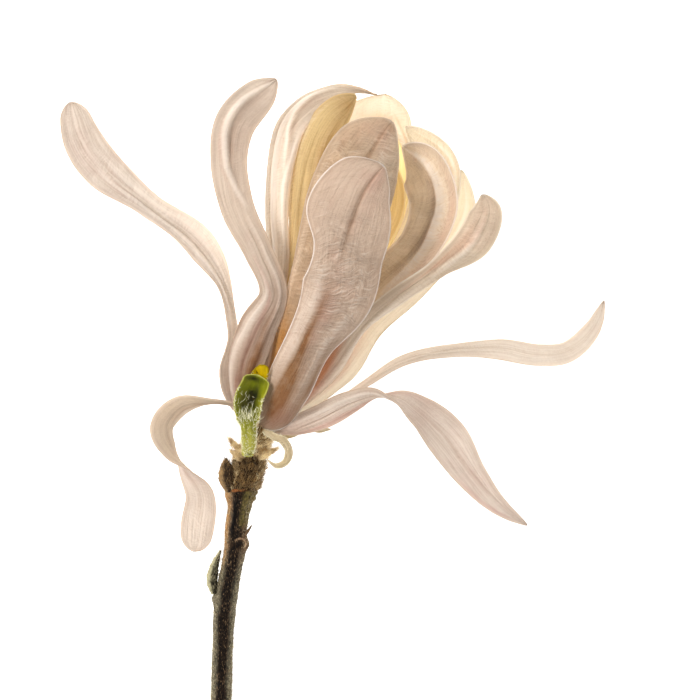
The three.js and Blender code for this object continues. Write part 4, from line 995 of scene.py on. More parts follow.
# Streaks along the tepals: kind, amount, width as a share of the half width, and their line. Shade
# streaks are painted shade, and cream streaks painted light.
STREAKS = {
    "front": [("shade", 0.8, 0.17, [(0.04, -0.1), (0.24, -0.16), (0.36, -0.23), (0.45, -0.27),
                                    (0.61, -0.2)]),
              ("cream", 0.3, 0.2, [(0.05, -0.7), (0.3, -0.72), (0.55, -0.68)]),
              ("shade", 0.25, 0.08, [(0.66, 0.0), (0.8, 0.03), (1.02, 0.0)]),
              ("shade", 0.35, 0.14, [(0.1, 0.75), (0.25, 0.8), (0.42, 0.7)])],
    "left_upright": [("shade", 0.6, 0.13, [(0.02, -0.83), (0.15, -0.86), (0.3, -0.95), (0.44, -1.0)]),
                     ("shade", 0.6, 0.25, [(0.05, 0.55), (0.21, 0.59), (0.31, 0.41), (0.42, 0.3)]),
                     ("pink", 0.9, 0.13, [(0.04, -0.5), (0.16, 0.05), (0.29, 0.0), (0.42, -0.36),
                                          (0.5, -0.3)]),
                     ("cream", 0.25, 0.1, [(0.04, -0.7), (0.16, -0.35), (0.29, -0.35), (0.42, -0.65)]),
                     ("shade", 0.32, 0.2, [(0.62, 0.6), (0.7, 0.2), (0.79, -0.05), (0.9, -0.08),
                                           (0.98, 0.2)]),
                     ("pink", 0.45, 0.14, [(0.62, 0.0), (0.72, -0.4), (0.84, -0.6), (0.95, -0.5)])],
    "right_crescent": [("cream", 0.2, 0.12, [(0.48, 0.75), (0.63, 0.55), (0.74, 0.42), (0.86, 0.4),
                                             (0.98, 0.3)]),
                       ("shade", 0.25, 0.14, [(0.5, 0.3), (0.63, 0.02), (0.74, -0.1),
                                              (0.86, -0.12), (0.97, -0.25)])],
    "upper_left": [("cream", 0.8, 0.08, [(0.4, 0.8), (0.57, 0.66), (0.61, 0.72), (0.73, 0.92),
                                         (0.86, 0.9)]),
                   ("cream", 0.9, 0.08, [(0.6, 0.6), (0.69, 0.41), (0.73, 0.23), (0.77, 0.05),
                                         (0.81, -0.05), (0.88, -0.3)]),
                   ("shade", 0.4, 0.1, [(0.6, 0.82), (0.69, 0.64), (0.77, 0.3), (0.83, 0.15),
                                        (0.92, -0.05)]),
                   ("shade", 0.15, 0.06, [(0.25, 0.2), (0.5, 0.2), (0.66, 0.1), (0.78, -0.3)])],
    "right_droop": [("pink", 1.0, 0.13, [(0.02, 0.55), (0.1, 0.68), (0.17, 0.77), (0.28, 0.74),
                                         (0.42, 0.8)]),
                    ("cream", 0.35, 0.2, [(0.03, -0.3), (0.2, -0.2), (0.4, 0.1)]),
                    ("shade", 0.25, 0.05, [(0.46, 0.0), (0.7, 0.05), (1.0, 0.0)]),
                    ("pink", 0.9, 0.2, [(0.72, -0.9), (0.85, -0.85), (0.99, -0.5)])],
    "right_hook": [("shade", 1.0, 0.32, [(0.03, -0.3), (0.2, -0.25), (0.31, -0.55), (0.42, -0.95)]),
                   ("cream", 1.0, 0.5, [(0.06, 0.9), (0.25, 0.9), (0.42, 0.9), (0.7, 0.8)]),
                   ("shade", 0.25, 0.08, [(0.5, 0.0), (0.65, -0.3), (0.8, -0.5)]),
                   ("pink", 0.6, 0.2, [(0.05, 0.2), (0.2, 0.2), (0.34, 0.0)]),
                   ("shade", 0.3, 0.12, [(0.7, -0.2), (0.87, 0.1), (0.97, -0.05)])],
    "right_lower": [("pink", 1.0, 0.4, [(0.15, 0.1), (0.35, -0.25), (0.52, -0.6), (0.62, -0.8)]),
                    ("shade", 0.5, 0.2, [(0.15, 0.0), (0.32, -0.4), (0.45, -0.7), (0.55, -0.9)])],
    "far_left": [("shade", 0.25, 0.05, [(0.3, 0.0), (0.6, 0.05), (0.97, 0.0)]),
                 ("shade", 0.2, 0.05, [(0.3, -0.4), (0.6, -0.35), (0.95, -0.15)]),
                 ("shade", 0.2, 0.05, [(0.3, 0.45), (0.6, 0.45), (0.95, 0.15)])],
    "inner_left": [("shade", 0.3, 0.3, [(0.3, 0.8), (0.6, 0.8), (0.95, 0.6)])],
    "upper_front": [("shade", 0.3, 0.08, [(0.5, 0.0), (0.75, 0.05), (1.02, 0.0)]),
                    ("cream", 0.25, 0.15, [(0.3, -0.8), (0.6, -0.8), (0.9, -0.7)])],
    "left_droop": [("shade", 0.35, 0.12, [(0.08, -0.2), (0.25, -0.3), (0.42, -0.35)]),
                   ("cream", 0.55, 0.2, [(0.08, -0.7), (0.25, -0.75), (0.42, -0.75)]),
                   ("cream", 0.5, 0.1, [(0.1, 0.95), (0.25, 0.97), (0.4, 0.97)])],
    "back": [("shade", 0.6, 0.05, [(0.76, 1.0), (0.84, 0.72), (0.91, 0.35)]),
             ("cream", 0.9, 0.06, [(0.78, 1.1), (0.86, 0.85), (0.94, 0.4)]),
             ("shade", 0.5, 0.04, [(0.82, 1.1), (0.89, 0.8), (0.96, 0.35)])],
    "right_back": [("shade", 0.3, 0.06, [(0.55, 0.7), (0.75, 0.62), (0.88, 0.45), (0.98, 0.1)]),
                   ("cream", 0.8, 0.08, [(0.55, 0.85), (0.75, 0.78), (0.88, 0.6), (0.98, 0.2)])],
    "far_right_back": [("shade", 0.25, 0.05, [(0.6, 0.3), (0.8, 0.45), (0.97, 0.3)]),
                       ("cream", 0.8, 0.1, [(0.6, 0.5), (0.8, 0.62), (0.97, 0.4)])],
}
PLAIN_WRINKLE = 0.32  # how wrinkled a tepal is without a patch

# ---- tepals ------------------------------------------------------------------------------------
TEPAL_STEPS = 250  # steps along a tepal
TEPAL_HALF = 22  # columns across each half of it
RIB_THICKNESS = 0.56
MARGIN_THICKNESS = 0.2
CRINKLE = 0.05  # height of the finest wrinkles


def patch_map(s, v, patches, kind):
    """The sum of amount * exp(-(ds / reach)^2 - (dv / spread)^2) over the patches of a kind."""
    total = np.zeros((len(s), len(v)))
    for name, at, across, reach, spread, amount in patches:
        if name == kind:
            total += amount * np.exp(-(((s[:, None] - at) / reach) ** 2)
                                     - ((v[None] - across) / spread) ** 2)
    return total


def seat_station(row, angle, face):
    """Where a tepal sits on the receptacle, as the first station of its blade."""
    turn = np.radians(angle)
    seat = (FLOWER_BASE + FLOWER_AXIS * SEAT_HEIGHTS[row]
            + SEAT_RADII[row] * (FLOWER_SIDE * np.cos(turn) + UP * np.sin(turn)))
    roll = angle - 90 if face == "out" else angle + 90
    roll -= 360 if roll > 180 else 0
    return (*seat, CLAW_HALF_WIDTH, CLAW_HALF_WIDTH, roll, 0)


def blade_thickness(s, v, rib, margin):
    """Thickest at the rib, rib - (rib - margin) * |v|^2, and the tip is as thin as the margin."""
    body = rib - (rib - margin) * np.abs(v[None]) ** 2
    tip = np.clip((1 - s[:, None]) / 0.1, 0, 1)
    return margin + (body - margin) * tip


def make_tepal(number, name, tepal):
    """One tepal: its blade, with folds, wavy margins and fine wrinkles across it."""
    seat = seat_station(tepal["row"], tepal["angle"], tepal["face"])
    stations = [seat, *tepal["stations"]]
    surface, s, v, widths = blade_surface(stations, tepal["tip"], TEPAL_STEPS, TEPAL_HALF)
    patches = PATCHES[name]
    marks = blade_marks(surface, s, v, number)
    across, along = marks["grain"][..., 0], marks["grain"][..., 1]
    folds = fold_relief(s, v, FOLDS.get(name, COMMON_FOLDS))
    stripes = STRIPES.get(name, COMMON_STRIPES)
    folds += stripes * layered_noise(v[None] * 4 + 20, along * 0.05, STRIPE_SEEDS + number)
    wrinkle = PLAIN_WRINKLE + patch_map(s, v, patches, "wrinkle")
    fine = layered_noise(across * 0.5 + 40, along * 1.1, WRINKLE_SEEDS + number)
    relief = folds + margin_waves(s, v, WAVES.get(name, COMMON_WAVE)) + CRINKLE * wrinkle * fine
    relief *= np.clip(s[:, None] * 8, 0, 1)
    edge = margin_distance(surface, widths, v)
    marks["form"] = np.stack([edge, np.clip(0.5 + folds, 0, 1), np.clip(wrinkle, 0, 1)], -1)
    tones = []
    for kind in ("shade", "pink", "cream"):
        streaks = [streak[1:] for streak in STREAKS.get(name, []) if streak[0] == kind]
        tones.append(np.clip(patch_map(s, v, patches, kind) + fold_relief(s, v, streaks), 0, 1))
    marks["tone"] = np.stack(tones, -1)
    surface = surface + grid_normals(surface) * relief[..., None]
    thickness = blade_thickness(s, v, RIB_THICKNESS, MARGIN_THICKNESS)
    surface[..., 2] = np.maximum(surface[..., 2], thickness / 2 + 0.01)
    points, faces, marks = blade_body(surface, thickness, marks)
    if tepal["face"] == "in":
        marks["place"][..., 2] = 1 - marks["place"][..., 2]
    material = tepal_finish("skin_" + name, **TEPAL_COLOURS[name])
    make_piece("petal_" + name, points, faces, material, ["tepal_" + name], marks)


for tepal_number, (tepal_name, tepal_shape) in enumerate(TEPALS.items()):
    make_tepal(tepal_number, tepal_name, tepal_shape)

# ---- hairs -------------------------------------------------------------------------------------
HAIR_TAPER = (1.0, 0.95, 0.75, 0.2)
HAIR_RADIUS = 0.04
HAIR_JITTER = 0.06  # how far a hair's root strays from its point
HAIR_SIDES = 3
PALE_HAIR, FAWN_HAIR, BROWN_HAIR, GREY_HAIR = (
    hair_finish("white_silk", ink(226, 222, 180), ink(255, 255, 246)),
    hair_finish("fawn_silk", ink(150, 112, 60), ink(255, 240, 200)),
    hair_finish("brown_silk", ink(38, 24, 10), ink(196, 156, 100), 0.12, 0.1),
    hair_finish("grey_down", ink(120, 110, 84), ink(224, 212, 176)))


def make_hairs(name, roots, normals, flow, count, length, lean, spread, material, seed):
    """Fine hairs from random ones of the roots. Each leaves between its surface's direction and
    the flow (lean 0 to 1), strays by spread, and bends towards the flow."""
    draw = np.random.default_rng(seed)
    pick = draw.integers(0, len(roots), count)
    stray = draw.normal(0, spread, (count, 3))
    directions = unit(normals[pick] * (1 - lean) + flow[pick] * lean + stray)
    lengths = length * draw.uniform(0.5, 1.3, count)
    bend = (flow[pick] - directions) * 0.3 + draw.normal(0, 0.12, (count, 3))
    start = roots[pick] + draw.normal(0, HAIR_JITTER, (count, 3))
    widths = HAIR_RADIUS * np.array(HAIR_TAPER)
    points, faces = sprouts(start, directions, lengths, widths, HAIR_SIDES, bend)
    make_piece(name, points, faces, material)


def side_marks(points, path):
    """The mark form of a round body, whose first number is how many radii a point lies to the
    right of the path."""
    rows = np.array(sorted(path, key=lambda row: row[1]))
    points = points.reshape(-1, 3)
    middle = np.interp(points[:, 1], rows[:, 1], rows[:, 0])
    radius = np.interp(points[:, 1], rows[:, 1], rows[:, 3])
    form = np.zeros_like(points)
    form[:, 0] = np.clip((points[:, 0] - middle) / np.maximum(radius, 0.3), -1.5, 1.5)
    return {"form": form}


# ---- twig --------------------------------------------------------------------------------------
TWIG_PATH = [
    (-23.2, -65.8, 1.95, 2.1), (-23.1, -61.0, 2.0, 2.12), (-22.9, -55.0, 3.0, 2.1),
    (-22.6, -48.7, 4.3, 2.1), (-22.3, -42.1, 6.0, 2.25), (-21.5, -36.1, 8.0, 2.25),
    (-20.3, -30.1, 9.9, 2.2), (-19.7, -24.1, 11.6, 2.25), (-19.1, -20.1, 12.7, 2.35),
    (-18.6, -17.0, 13.5, 2.95), (-18.2, -15.4, 13.9, 3.0), (-17.4, -13.0, 14.6, 2.85),
    (-16.8, -10.6, 15.3, 2.75), (-16.5, -9.2, 15.7, 2.3)]
# Swellings and hollows: middle, reach and height, which is below 0 for a hollow.
LUMPS = (((-24.2, -38.6, 7.6), 1.1, 0.6), ((-21.2, -17.6, 13.6), 1.0, 0.4),
         ((-17.7, -27.4, 11.2), 1.3, 0.75), ((-18.7, -26.1, 13.4), 0.45, -0.5),
         ((-18.9, -28.2, 12.8), 0.5, -0.45), ((-18.0, -25.2, 13.0), 0.6, 0.4))
SPUR = ((-18.1, -25.6, 12.6, 0.4), (-17.2, -24.5, 12.9, 0.28), (-16.5, -23.4, 13.0, 0.12))
RING_HEIGHTS = (-17.3, -16.1, -10.9)
TWIG_STEPS = 420
TWIG_AROUND = 96


def make_twig(material):
    """The twig: bark lifted by noise drawn out along it, raised rings at the nodes, swellings
    and hollows round the leaf scars, a short spur, and hairs, long ones near its top."""
    centre, outward, radius, _, turn, along = tube_surface(TWIG_PATH, TWIG_STEPS, TWIG_AROUND)
    round_share = turn[None] / (2 * np.pi)
    height = centre[:, 0, 1][:, None]
    bark = layered_noise(round_share * 12, height * 0.35, BARK_SEED, period=12)
    ridge = 1 - np.abs(layered_noise(round_share * 8, height * 0.12, RIDGE_SEED, period=8, layers=2))
    relief = 0.09 * bark + 0.12 * (ridge - 0.6)
    for ring in RING_HEIGHTS:
        wander = 0.25 * np.sin(turn[None] + ring)
        relief = relief + 0.28 * np.exp(-(((height - ring + wander) / 0.35) ** 2))
    points = centre + outward * (radius + relief)[..., None]
    for at, size, lift in LUMPS:
        distance = np.linalg.norm(points - np.array(at), axis=-1)
        points = points + outward * (lift * np.exp(-((distance / size) ** 2)))[..., None]
    points[..., 2] = np.maximum(points[..., 2], 0.0)
    both, faces = joined(*tube_body(points), *plain_tube(SPUR, 8, 12))
    marks = side_marks(both, TWIG_PATH)
    make_piece("twig_bark", both, faces, material, ["twig"], marks)

    flow = np.broadcast_to(along[:, None], points.shape)
    roots, normals, flow, sideways = (values.reshape(-1, values.shape[-1]) for values in (
        points, outward, flow, np.abs(outward[..., :1])))
    top = (roots[:, 1] > HAIRY_FROM) & (normals[:, 2] > -0.3)
    make_hairs("hairs_on_twig_top", roots[top], normals[top], flow[top], 1500, 1.5, 0.55, 0.34,
               BROWN_HAIR, 61)
    right = top & (sideways[:, 0] > 0.55)
    make_hairs("silk_on_twig_top", roots[right], normals[right], flow[right], 560, 1.3, 0.5, 0.3,
               FAWN_HAIR, 63)
    low = (roots[:, 1] < HAIRY_FROM) & (sideways[:, 0] > 0.6) & (roots[:, 2] > 0.8)
    make_hairs("down_on_twig", roots[low], normals[low], flow[low], 1500, 0.45, 0.45, 0.3,
               GREY_HAIR, 62)


make_twig(bark_finish())

# ---- stalk and buds ----------------------------------------------------------------------------
STALK_START = (-16.3, -8.6, 15.9)
RECEPTACLE = ((-0.8, 2.1), (0.8, 2.85), (1.7, 2.05), (2.6, 1.35), (3.5, 0.72), (COLUMN_TOP, 0.55))
BUD_UPPER = ((-21.0, -16.5, 14.8, 0.7), (-21.4, -14.0, 15.6, 1.7), (-21.5, -12.1, 16.0, 1.45),
             (-21.6, -10.8, 16.2, 0.85), (-21.6, -9.8, 16.2, 0.2))
BUD_LOWER = ((-24.3, -37.6, 8.2, 0.5), (-24.7, -35.2, 8.6, 1.1), (-24.2, -32.0, 9.4, 0.9),
             (-23.4, -29.9, 10.0, 0.45), (-22.9, -28.7, 10.4, 0.2))


def make_round(name, path, lump, material, replaces, hairs, seed):
    """A round body along a path, with its radius lifted by noise of the height lump, under
    groups of hairs: how many, their length, how much they lean along it and stray, and which."""
    centre, outward, radius, s, turn, along = tube_surface(path, 90, 64)
    noise = layered_noise(turn[None] / (2 * np.pi) * 8, s[:, None] * 9, seed, period=8)
    points = centre + outward * (radius * (1 + lump * noise))[..., None]
    body, faces = tube_body(points)
    make_piece(name, body, faces, material, replaces, side_marks(body, path))
    flow = np.broadcast_to(along[:, None], points.shape)
    seen = outward[..., 2].ravel() > -0.4
    for order, (count, length, lean, spread, coat) in enumerate(hairs):
        make_hairs(f"hairs_{order + 1}_on_{name}", points.reshape(-1, 3)[seen],
                   outward.reshape(-1, 3)[seen], flow.reshape(-1, 3)[seen], count, length, lean,
                   spread, coat, seed + order)


stalk_path = [(*STALK_START, 2.1), (-15.4, -6.7, 16.8, 2.1)]
stalk_path += [(*(FLOWER_BASE + FLOWER_AXIS * height), width) for height, width in RECEPTACLE]
make_round("stalk_skin", stalk_path, 0.05, stalk_finish(), ["flower_stalk"],
           [(1300, 1.9, 0.55, 0.3, FAWN_HAIR), (500, 2.6, 0.5, 0.35, FAWN_HAIR),
            (500, 1.6, 0.6, 0.3, BROWN_HAIR)], 31)
make_round("bud_upper", BUD_UPPER, 0.05, bud_finish(
    "bud_brown_silk", ink(40, 27, 16), ink(176, 142, 96), -0.35), ["lateral_bud_upper"],
    [(200, 0.6, 0.92, 0.06, BROWN_HAIR)], 41)
make_round("bud_lower", BUD_LOWER, 0.08, bud_finish(
    "bud_grey_silk", ink(30, 26, 16), ink(200, 192, 152), 0.0), ["lateral_bud_lower"],
    [(110, 0.6, 0.9, 0.08, GREY_HAIR)], 51)

# ---- hood, leaf, scales and bracts -------------------------------------------------------------
SMALL_BLADES = {
    "hood": dict(replaces="leaf_sheath", slot="sheath", rib=0.5, tip=0.035, stations=[
        (-17.3, -9.2, 20.6, 1.2, 1.2, 0, -85), (-17.0, -7.6, 21.6, 1.8, 1.8, 0, -85),
        (-16.9, -4.8, 23.2, 2.0, 2.0, 0, -80), (-17.0, -2.9, 24.3, 2.0, 2.0, 0, -50),
        (-17.0, -1.2, 25.0, 2.4, 2.4, 0, 25), (-16.9, 0.9, 25.6, 3.3, 3.3, 0, 62),
        (-16.3, 3.4, 27.0, 3.5, 3.5, 0, 65), (-15.5, 5.2, 28.2, 3.1, 3.4, 0, 60),
        (-15.0, 7.0, 29.2, 2.8, 3.0, 0, 45)]),
    "leaf_fold": dict(replaces="young_leaf", slot="leaf", rib=0.45, tip=0.12, stations=[
        (-15.4, 2.6, 25.6, 0.8, 0.8, 0, 45), (-15.0, 4.6, 26.6, 1.6, 1.5, 0, 30),
        (-14.7, 6.4, 28.0, 1.8, 1.8, 0, 25), (-14.4, 7.8, 29.0, 1.5, 1.7, 0, 20),
        (-14.5, 9.0, 29.6, 0.6, 1.7, 0, 20)]),
    "scale_upper_left": dict(replaces="bud_scale_upper_left", slot="scale", rib=0.4, tip=0.3,
                             stations=[
        (-18.0, -8.4, 18.0, 0.6, 0.6, -20, -40), (-19.4, -7.5, 18.2, 0.6, 0.6, -20, -30),
        (-20.8, -6.2, 18.2, 0.2, 0.2, -20, -20)]),
    "scale_lower_left": dict(replaces="bud_scale_lower_left", slot="scale", rib=0.4, tip=0.3,
                             stations=[
        (-18.3, -10.0, 17.8, 0.6, 0.6, -20, -40), (-19.4, -9.3, 17.9, 0.5, 0.5, -20, -30),
        (-20.3, -8.6, 17.8, 0.2, 0.2, -20, -20)]),
    "scale_right": dict(replaces="bud_scale_right", slot="scale", rib=0.4, tip=0.3, stations=[
        (-15.2, -9.4, 18.3, 0.8, 0.8, 20, -30), (-13.4, -8.8, 18.8, 0.8, 0.8, 20, -30),
        (-11.5, -8.0, 18.6, 0.2, 0.2, 10, -20)]),
    "strap": dict(replaces="curled_bract", slot="bract", rib=0.4, tip=0.3, stations=[
        (-13.9, -4.0, 21.6, 0.6, 0.6, 0, -20), (-12.0, -5.3, 22.4, 0.75, 0.75, 0, -35),
        (-10.0, -6.2, 23.0, 0.85, 0.85, 0, -35), (-8.9, -8.2, 23.0, 0.85, 0.85, 0, -35),
        (-9.4, -10.3, 22.6, 0.75, 0.75, 0, -35), (-11.3, -11.2, 22.0, 0.6, 0.6, 0, -25),
        (-13.3, -9.8, 21.4, 0.3, 0.3, 0, -10)]),
    "sliver": dict(replaces="bract_behind", slot="bract", rib=0.4, tip=0.3, stations=[
        (-11.2, -5.4, 15.2, 0.6, 0.6, 10, 20), (-8.4, -5.2, 15.8, 0.6, 0.6, 10, 20),
        (-5.4, -3.7, 16.2, 0.6, 0.6, 10, 20), (-2.4, -4.1, 16.4, 0.7, 0.7, 10, 10),
        (-0.5, -4.0, 16.5, 0.3, 0.3, 10, 10)]),
}
# The hood's short stalk.
SHEATH_STALK = ((-17.2, -9.0, 19.6, 1.2), (-17.0, -6.0, 21.0, 1.3), (-16.9, -3.0, 22.6, 1.1))
# Patches and folds of the small blades, written as the tepals' are. Their shade patches are painted
# shade; pale and warm are their own colours.
SMALL_PATCHES = {
    "hood": [("pale", 0.12, 0.0, 0.3, 2.0, 1.0), ("shade", 0.63, 0.0, 0.13, 0.6, 1.4),
             ("shade", 0.8, 0.2, 0.08, 0.4, 0.8), ("shade", 0.95, -0.2, 0.03, 0.7, 0.9),
             ("warm", 0.75, 0.85, 0.2, 0.3, 0.9), ("shade", 0.01, 0.3, 0.03, 0.8, 0.9)],
    "leaf_fold": [("warm", 0.65, -0.3, 0.3, 0.8, 1.0), ("shade", 0.5, 0.8, 0.06, 0.3, 0.5)],
    "scale_right": [("shade", 0.0, 0.0, 0.2, 1.0, 0.8), ("pale", 0.9, 0.0, 0.4, 1.0, 0.8)],
    "scale_upper_left": [("shade", 0.1, 0.0, 0.3, 1.0, 0.8), ("pale", 0.9, 0.0, 0.3, 1.0, 0.6)],
    "scale_lower_left": [("shade", 0.1, 0.0, 0.3, 1.0, 0.8), ("pale", 0.9, 0.0, 0.3, 1.0, 0.5)],
    "sliver": [("warm", 0.1, 0.0, 0.4, 1.0, 0.9), ("pale", 1.0, 0.0, 0.3, 1.0, 0.8)],
    "strap": [("warm", 0.75, 0.3, 0.2, 0.8, 0.4), ("shade", 0.35, 0.7, 0.3, 0.4, 0.35),
              ("shade", 0.9, -0.5, 0.2, 0.5, 0.35)],
}
SMALL_FOLDS = {
    "leaf_fold": [(-0.45, 0.16, [(0.42, 1.4), (0.53, 0.85), (0.7, -0.15), (0.88, -0.7)]),
                  (-0.3, 0.07, [(0.45, -0.2), (0.65, -0.35), (0.85, -0.6)])],
    "strap": [(-0.12, 0.16, [(0.1, 0.35), (0.5, 0.35), (0.95, 0.2)]),
              (-0.1, 0.1, [(0.1, -0.4), (0.5, -0.45), (0.95, -0.3)])],
    "hood": [(0.25, 0.15, [(0.02, 0.3), (0.2, 0.3), (0.42, 0.3)]),
             (-0.2, 0.12, [(0.02, -0.1), (0.2, -0.15), (0.42, -0.1)])],
}
# The first colour is the painted shade in the hood's hollow; the white green and the moss are its own
# colours.
HOLLOW_SHADE, WHITE_GREEN, MOSS = ink(16, 22, 4), ink(186, 182, 84), ink(160, 160, 16)
SMALL_COLOURS = {
    "hood": green_finish("hood_skin", ink(116, 124, 2), ink(158, 166, 88), ink(206, 206, 104),
                         HOLLOW_SHADE, WHITE_GREEN, MOSS, 0.14),
    "leaf_fold": green_finish("leaf_skin", ink(204, 178, 0), ink(206, 200, 30),
                              ink(112, 90, 20), ink(44, 28, 6), ink(236, 222, 40),
                              ink(244, 204, 0), 0.28, glow=(1.0, 0.86, 0.05, 1.0)),
    "scale": green_finish("scale_skin", ink(196, 168, 118), ink(206, 180, 132), ink(246, 230, 192),
                          ink(72, 50, 26), ink(250, 238, 206), ink(190, 160, 110), 0.3,
                          glow=(1.0, 0.92, 0.72, 1.0)),
    "bract": green_finish("bract_skin", ink(208, 190, 158), ink(208, 192, 160),
                          ink(228, 214, 186), ink(112, 86, 50), ink(240, 230, 206),
                          ink(200, 178, 128), 0.22, glow=(1.0, 0.92, 0.72, 1.0)),
}
# Hairs on the small blades: where along them, between which shares of the half width, how many,
# their length, lean and straying, and the coat.
SMALL_HAIRS = {
    "hood": [((0.42, 0.54), 0.0, 0.8, 60, 2.6, 0.75, 0.25, PALE_HAIR),
             ((0.5, 0.75), 0.0, 0.8, 40, 1.3, 0.6, 0.4, PALE_HAIR),
             ((0.0, 0.5), 0.0, 1.0, 240, 0.9, 0.5, 0.35, PALE_HAIR),
             ((0.0, 0.82), 0.88, 1.0, 330, 0.7, 0.35, 0.35, PALE_HAIR)],
    "leaf_fold": [((0.4, 0.8), 0.8, 1.0, 14, 0.4, 0.4, 0.3, PALE_HAIR)],
    "scale_upper_left": [((0.0, 0.95), 0.0, 1.0, 200, 1.5, 0.75, 0.25, FAWN_HAIR)],
    "scale_lower_left": [((0.0, 0.95), 0.0, 1.0, 160, 1.3, 0.75, 0.25, FAWN_HAIR)],
    "scale_right": [((0.0, 0.95), 0.0, 1.0, 240, 1.5, 0.8, 0.2, FAWN_HAIR)],
    "strap": [((0.0, 0.9), 0.5, 1.0, 110, 0.5, 0.5, 0.3, PALE_HAIR)],
}
SMALL_STEPS = 90
SMALL_HALF = 14
SMALL_MARGIN = 0.18
SMALL_PATTERN, FOOT_PATTERN = 40, 60  # numbers of patterns that no tepal has


def make_small_blade(number, name, shape):
    """A scale, bract, hood or young leaf: a blade with uneven margins, a lumpy face and hairs."""
    surface, s, v, widths = blade_surface(shape["stations"], shape["tip"], SMALL_STEPS, SMALL_HALF)
    marks = blade_marks(surface, s, v, SMALL_PATTERN + number)
    across, along = marks["grain"][..., 0], marks["grain"][..., 1]
    folds = fold_relief(s, v, SMALL_FOLDS.get(name, []))
    lumps = layered_noise(across * 1.1 + 30, along * 0.6, LUMP_SEEDS + number)
    edge = margin_distance(surface, widths, v)
    marks["form"] = np.stack([edge, np.clip(0.5 + folds, 0, 1), np.clip(lumps, 0, 1)], -1)
    patches = SMALL_PATCHES.get(name, [])
    marks["tone"] = np.stack([np.clip(patch_map(s, v, patches, kind), 0, 1)
                              for kind in ("shade", "pale", "warm")], -1)
    surface = surface + grid_normals(surface) * (folds + 0.1 * lumps)[..., None]
    thickness = blade_thickness(s, v, shape["rib"], SMALL_MARGIN)
    points, faces, body_marks = blade_body(surface, thickness, marks)
    material = SMALL_COLOURS.get(name) or SMALL_COLOURS[shape["slot"]]
    if name == "hood":
        foot, foot_faces = plain_tube(SHEATH_STALK, 40, 32)
        foot = foot.reshape(-1, 3)
        points, faces = joined(points, faces, foot, foot_faces)
        added = {"grain": foot * [1, 1, 0] + [0, 0, PATTERN_STEP * FOOT_PATTERN],
                 "place": (0.4, 0.1, 0.0), "form": (EDGE_REACH, 0.5, 0.0),
                 "tone": (0.0, 1.0, 0.0)}
        for mark, values in body_marks.items():
            foot_values = np.broadcast_to(added[mark], foot.shape)
            body_marks[mark] = np.concatenate([values.reshape(-1, 3), foot_values])
    make_piece(name, points, faces, material, [shape["replaces"]], body_marks)

    normals = grid_normals(surface)
    flow = unit(np.gradient(surface, axis=0))
    outward = np.sign(v)[None, :, None] * unit(np.gradient(surface, axis=1))
    at_margin = np.clip((np.abs(v) - 0.7) / 0.3, 0, 1)[None, :, None]
    normals = unit(normals * (1 - 0.7 * at_margin) + outward * at_margin)
    start = surface + grid_normals(surface) * thickness[..., None] / 2
    way, place = np.broadcast_arrays(s[:, None], np.abs(v[None]))
    for order, hairs in enumerate(SMALL_HAIRS.get(name, [])):
        (first, last), inner, outer, count, length, lean, spread, coat = hairs
        chosen = (way >= first) & (way <= last) & (place >= inner) & (place <= outer)
        make_hairs(f"hairs_{order + 1}_on_{name}", start[chosen], normals[chosen], flow[chosen],
                   count, length, lean, spread, coat,
                   SMALL_HAIR_SEEDS + 5 * number + order)


for blade_number, (blade_name, blade_shape) in enumerate(SMALL_BLADES.items()):
    make_small_blade(blade_number, blade_name, blade_shape)

# ---- stamens and carpels -----------------------------------------------------------------------
GOLDEN_TURN = np.pi * (3 - np.sqrt(5))
STAMEN_COUNT, CARPEL_COUNT = 54, 40
STAMEN_LENGTH, CARPEL_LENGTH = 2.7, 1.3
STAMEN_LEAN = 16
STAMEN_PROFILE = (0.1, 0.12, 0.16, 0.22, 0.24, 0.23, 0.2, 0.05)
CARPEL_PROFILE = (0.26, 0.29, 0.25, 0.17, 0.12, 0.09, 0.08, 0.03)
POINT_SIDES = 8


def on_axis(height, out, radius):
    """Points at a height up the flower's axis and a distance from it along out."""
    return FLOWER_BASE + FLOWER_AXIS * height[:, None] + out * radius[:, None]


def spiral(count):
    """Directions away from the flower's axis, each a golden angle on from the last."""
    turn = np.arange(count) * GOLDEN_TURN
    return FLOWER_SIDE * np.cos(turn)[:, None] + UP * np.sin(turn)[:, None]


def core_path(bottom, height, radius, tip):
    """A straight path up the flower's axis, whose radius runs evenly to tip."""
    steps = np.linspace(0, 1, 4)
    return [(*(FLOWER_BASE + FLOWER_AXIS * (bottom + height * t)), radius + (tip - radius) * t)
            for t in steps]


def make_points(name, core, roots, directions, length, profile, bend, material, replaces):
    """A core with many small points on it, each a tapering body whose radii are the profile's."""
    lengths = np.full(len(roots), length)
    sprouted = sprouts(roots, unit(directions), lengths, np.array(profile), POINT_SIDES, bend)
    points, faces = joined(*plain_tube(core, 20, 24), *sprouted)
    make_piece(name, points, faces, material, [replaces])


def make_stamens():
    """A spiral of stamens that lean outwards, round a short core."""
    away = spiral(STAMEN_COUNT)
    share = np.arange(STAMEN_COUNT) / STAMEN_COUNT
    lean = np.radians(STAMEN_LEAN)
    roots = on_axis(4.9 + 0.95 * share, away, np.full(STAMEN_COUNT, 0.62))
    directions = FLOWER_AXIS * np.cos(lean) + away * np.sin(lean)
    skin = point_finish("stamen_skin", ink(226, 196, 150), ink(250, 232, 180), 5.0, 8.0)
    make_points("stamen_spiral", core_path(4.6, 1.6, 0.72, 0.7), roots, directions, STAMEN_LENGTH,
                STAMEN_PROFILE, away * 0.05, skin, "stamens")


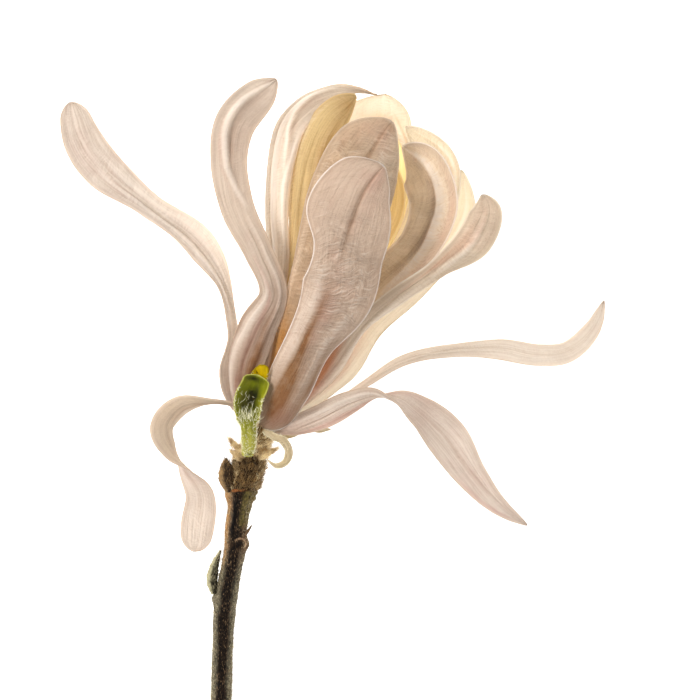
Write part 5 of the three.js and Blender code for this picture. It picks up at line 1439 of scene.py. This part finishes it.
def make_carpels():
    """A cone of short carpels that lean out and up, on a slim core."""
    away = spiral(CARPEL_COUNT)
    share = (np.arange(CARPEL_COUNT) + 2) / (CARPEL_COUNT + 2)
    roots = on_axis(8.3 + 3.0 * share, away, 0.4 - 0.3 * share)
    directions = FLOWER_AXIS * 0.65 + away * 0.75
    skin = point_finish("carpel_skin", ink(150, 164, 84), ink(206, 206, 140), 7.0, 12.0)
    make_points("carpel_cone", core_path(6.7, 5.0, 0.55, 0.28), roots, directions, CARPEL_LENGTH,
                CARPEL_PROFILE, FLOWER_AXIS * 0.3, skin, "carpels")


make_stamens()
make_carpels()

# ---- floor and light ---------------------------------------------------------------------------
FLOOR_HALF = 3.0  # metres, as everything in this section
FLOOR_DROP = 0.0001
FLOOR_GLOW = 0.92
WORLD_STRENGTH = 0.62
LIGHT_AIM = (0.0, 0.01, 0.02)
# The lights: place, size, power and colour.
LIGHTS = {"key": ((-0.5, 0.3, 0.6), 0.3, 5.2, (1.0, 0.98, 0.96)),
          "fill": ((0.6, -0.3, 0.6), 0.7, 0.9, (1.0, 0.97, 0.94))}


def make_floor():
    """A wide plain surface under the branch that gives off soft white light."""
    half = FLOOR_HALF
    corners = [(-half, -half, 0.0), (half, -half, 0.0), (half, half, 0.0), (-half, half, 0.0)]
    mesh = bpy.data.meshes.new("floor")
    mesh.from_pydata(corners, [], [(0, 1, 2, 3)])
    finish = Finish("floor_white")
    x, y, _ = finish.place()
    grain = finish.noise(x * 0.05, y * 0.05, 0.0)
    colour = finish.mix(grain * 0.3, (0.86, 0.86, 0.86, 1), (0.84, 0.84, 0.84, 1))
    skin = finish.skin(colour, 0.8, 0.1, glow=WHITE, strength=FLOOR_GLOW)
    mesh.materials.append(finish.done(skin))
    floor = bpy.data.objects.new("floor", mesh)
    floor.location.z = -FLOOR_DROP
    bpy.context.collection.objects.link(floor)


def make_light(name, place, size, power, colour):
    """A square soft light that looks at the flower."""
    data = bpy.data.lights.new(name, "AREA")
    data.shape, data.size, data.energy, data.color = "SQUARE", size, power, colour
    light = bpy.data.objects.new(name, data)
    light.location = place
    aim = np.array(LIGHT_AIM) - np.array(place)
    light.rotation_euler = Vector(aim).to_track_quat("-Z", "Y").to_euler()
    bpy.context.collection.objects.link(light)


def make_world():
    """Even, nearly white light from all sides."""
    world = bpy.data.worlds.new("studio")
    world.use_nodes = True
    background = world.node_tree.nodes["Background"]
    background.inputs["Color"].default_value = (1.0, 0.99, 0.98, 1)
    background.inputs["Strength"].default_value = WORLD_STRENGTH
    bpy.context.scene.world = world


make_floor()
for light_name, light_values in LIGHTS.items():
    make_light(light_name, *light_values)
make_world()
bpy.context.scene.view_settings.view_transform = "Standard"
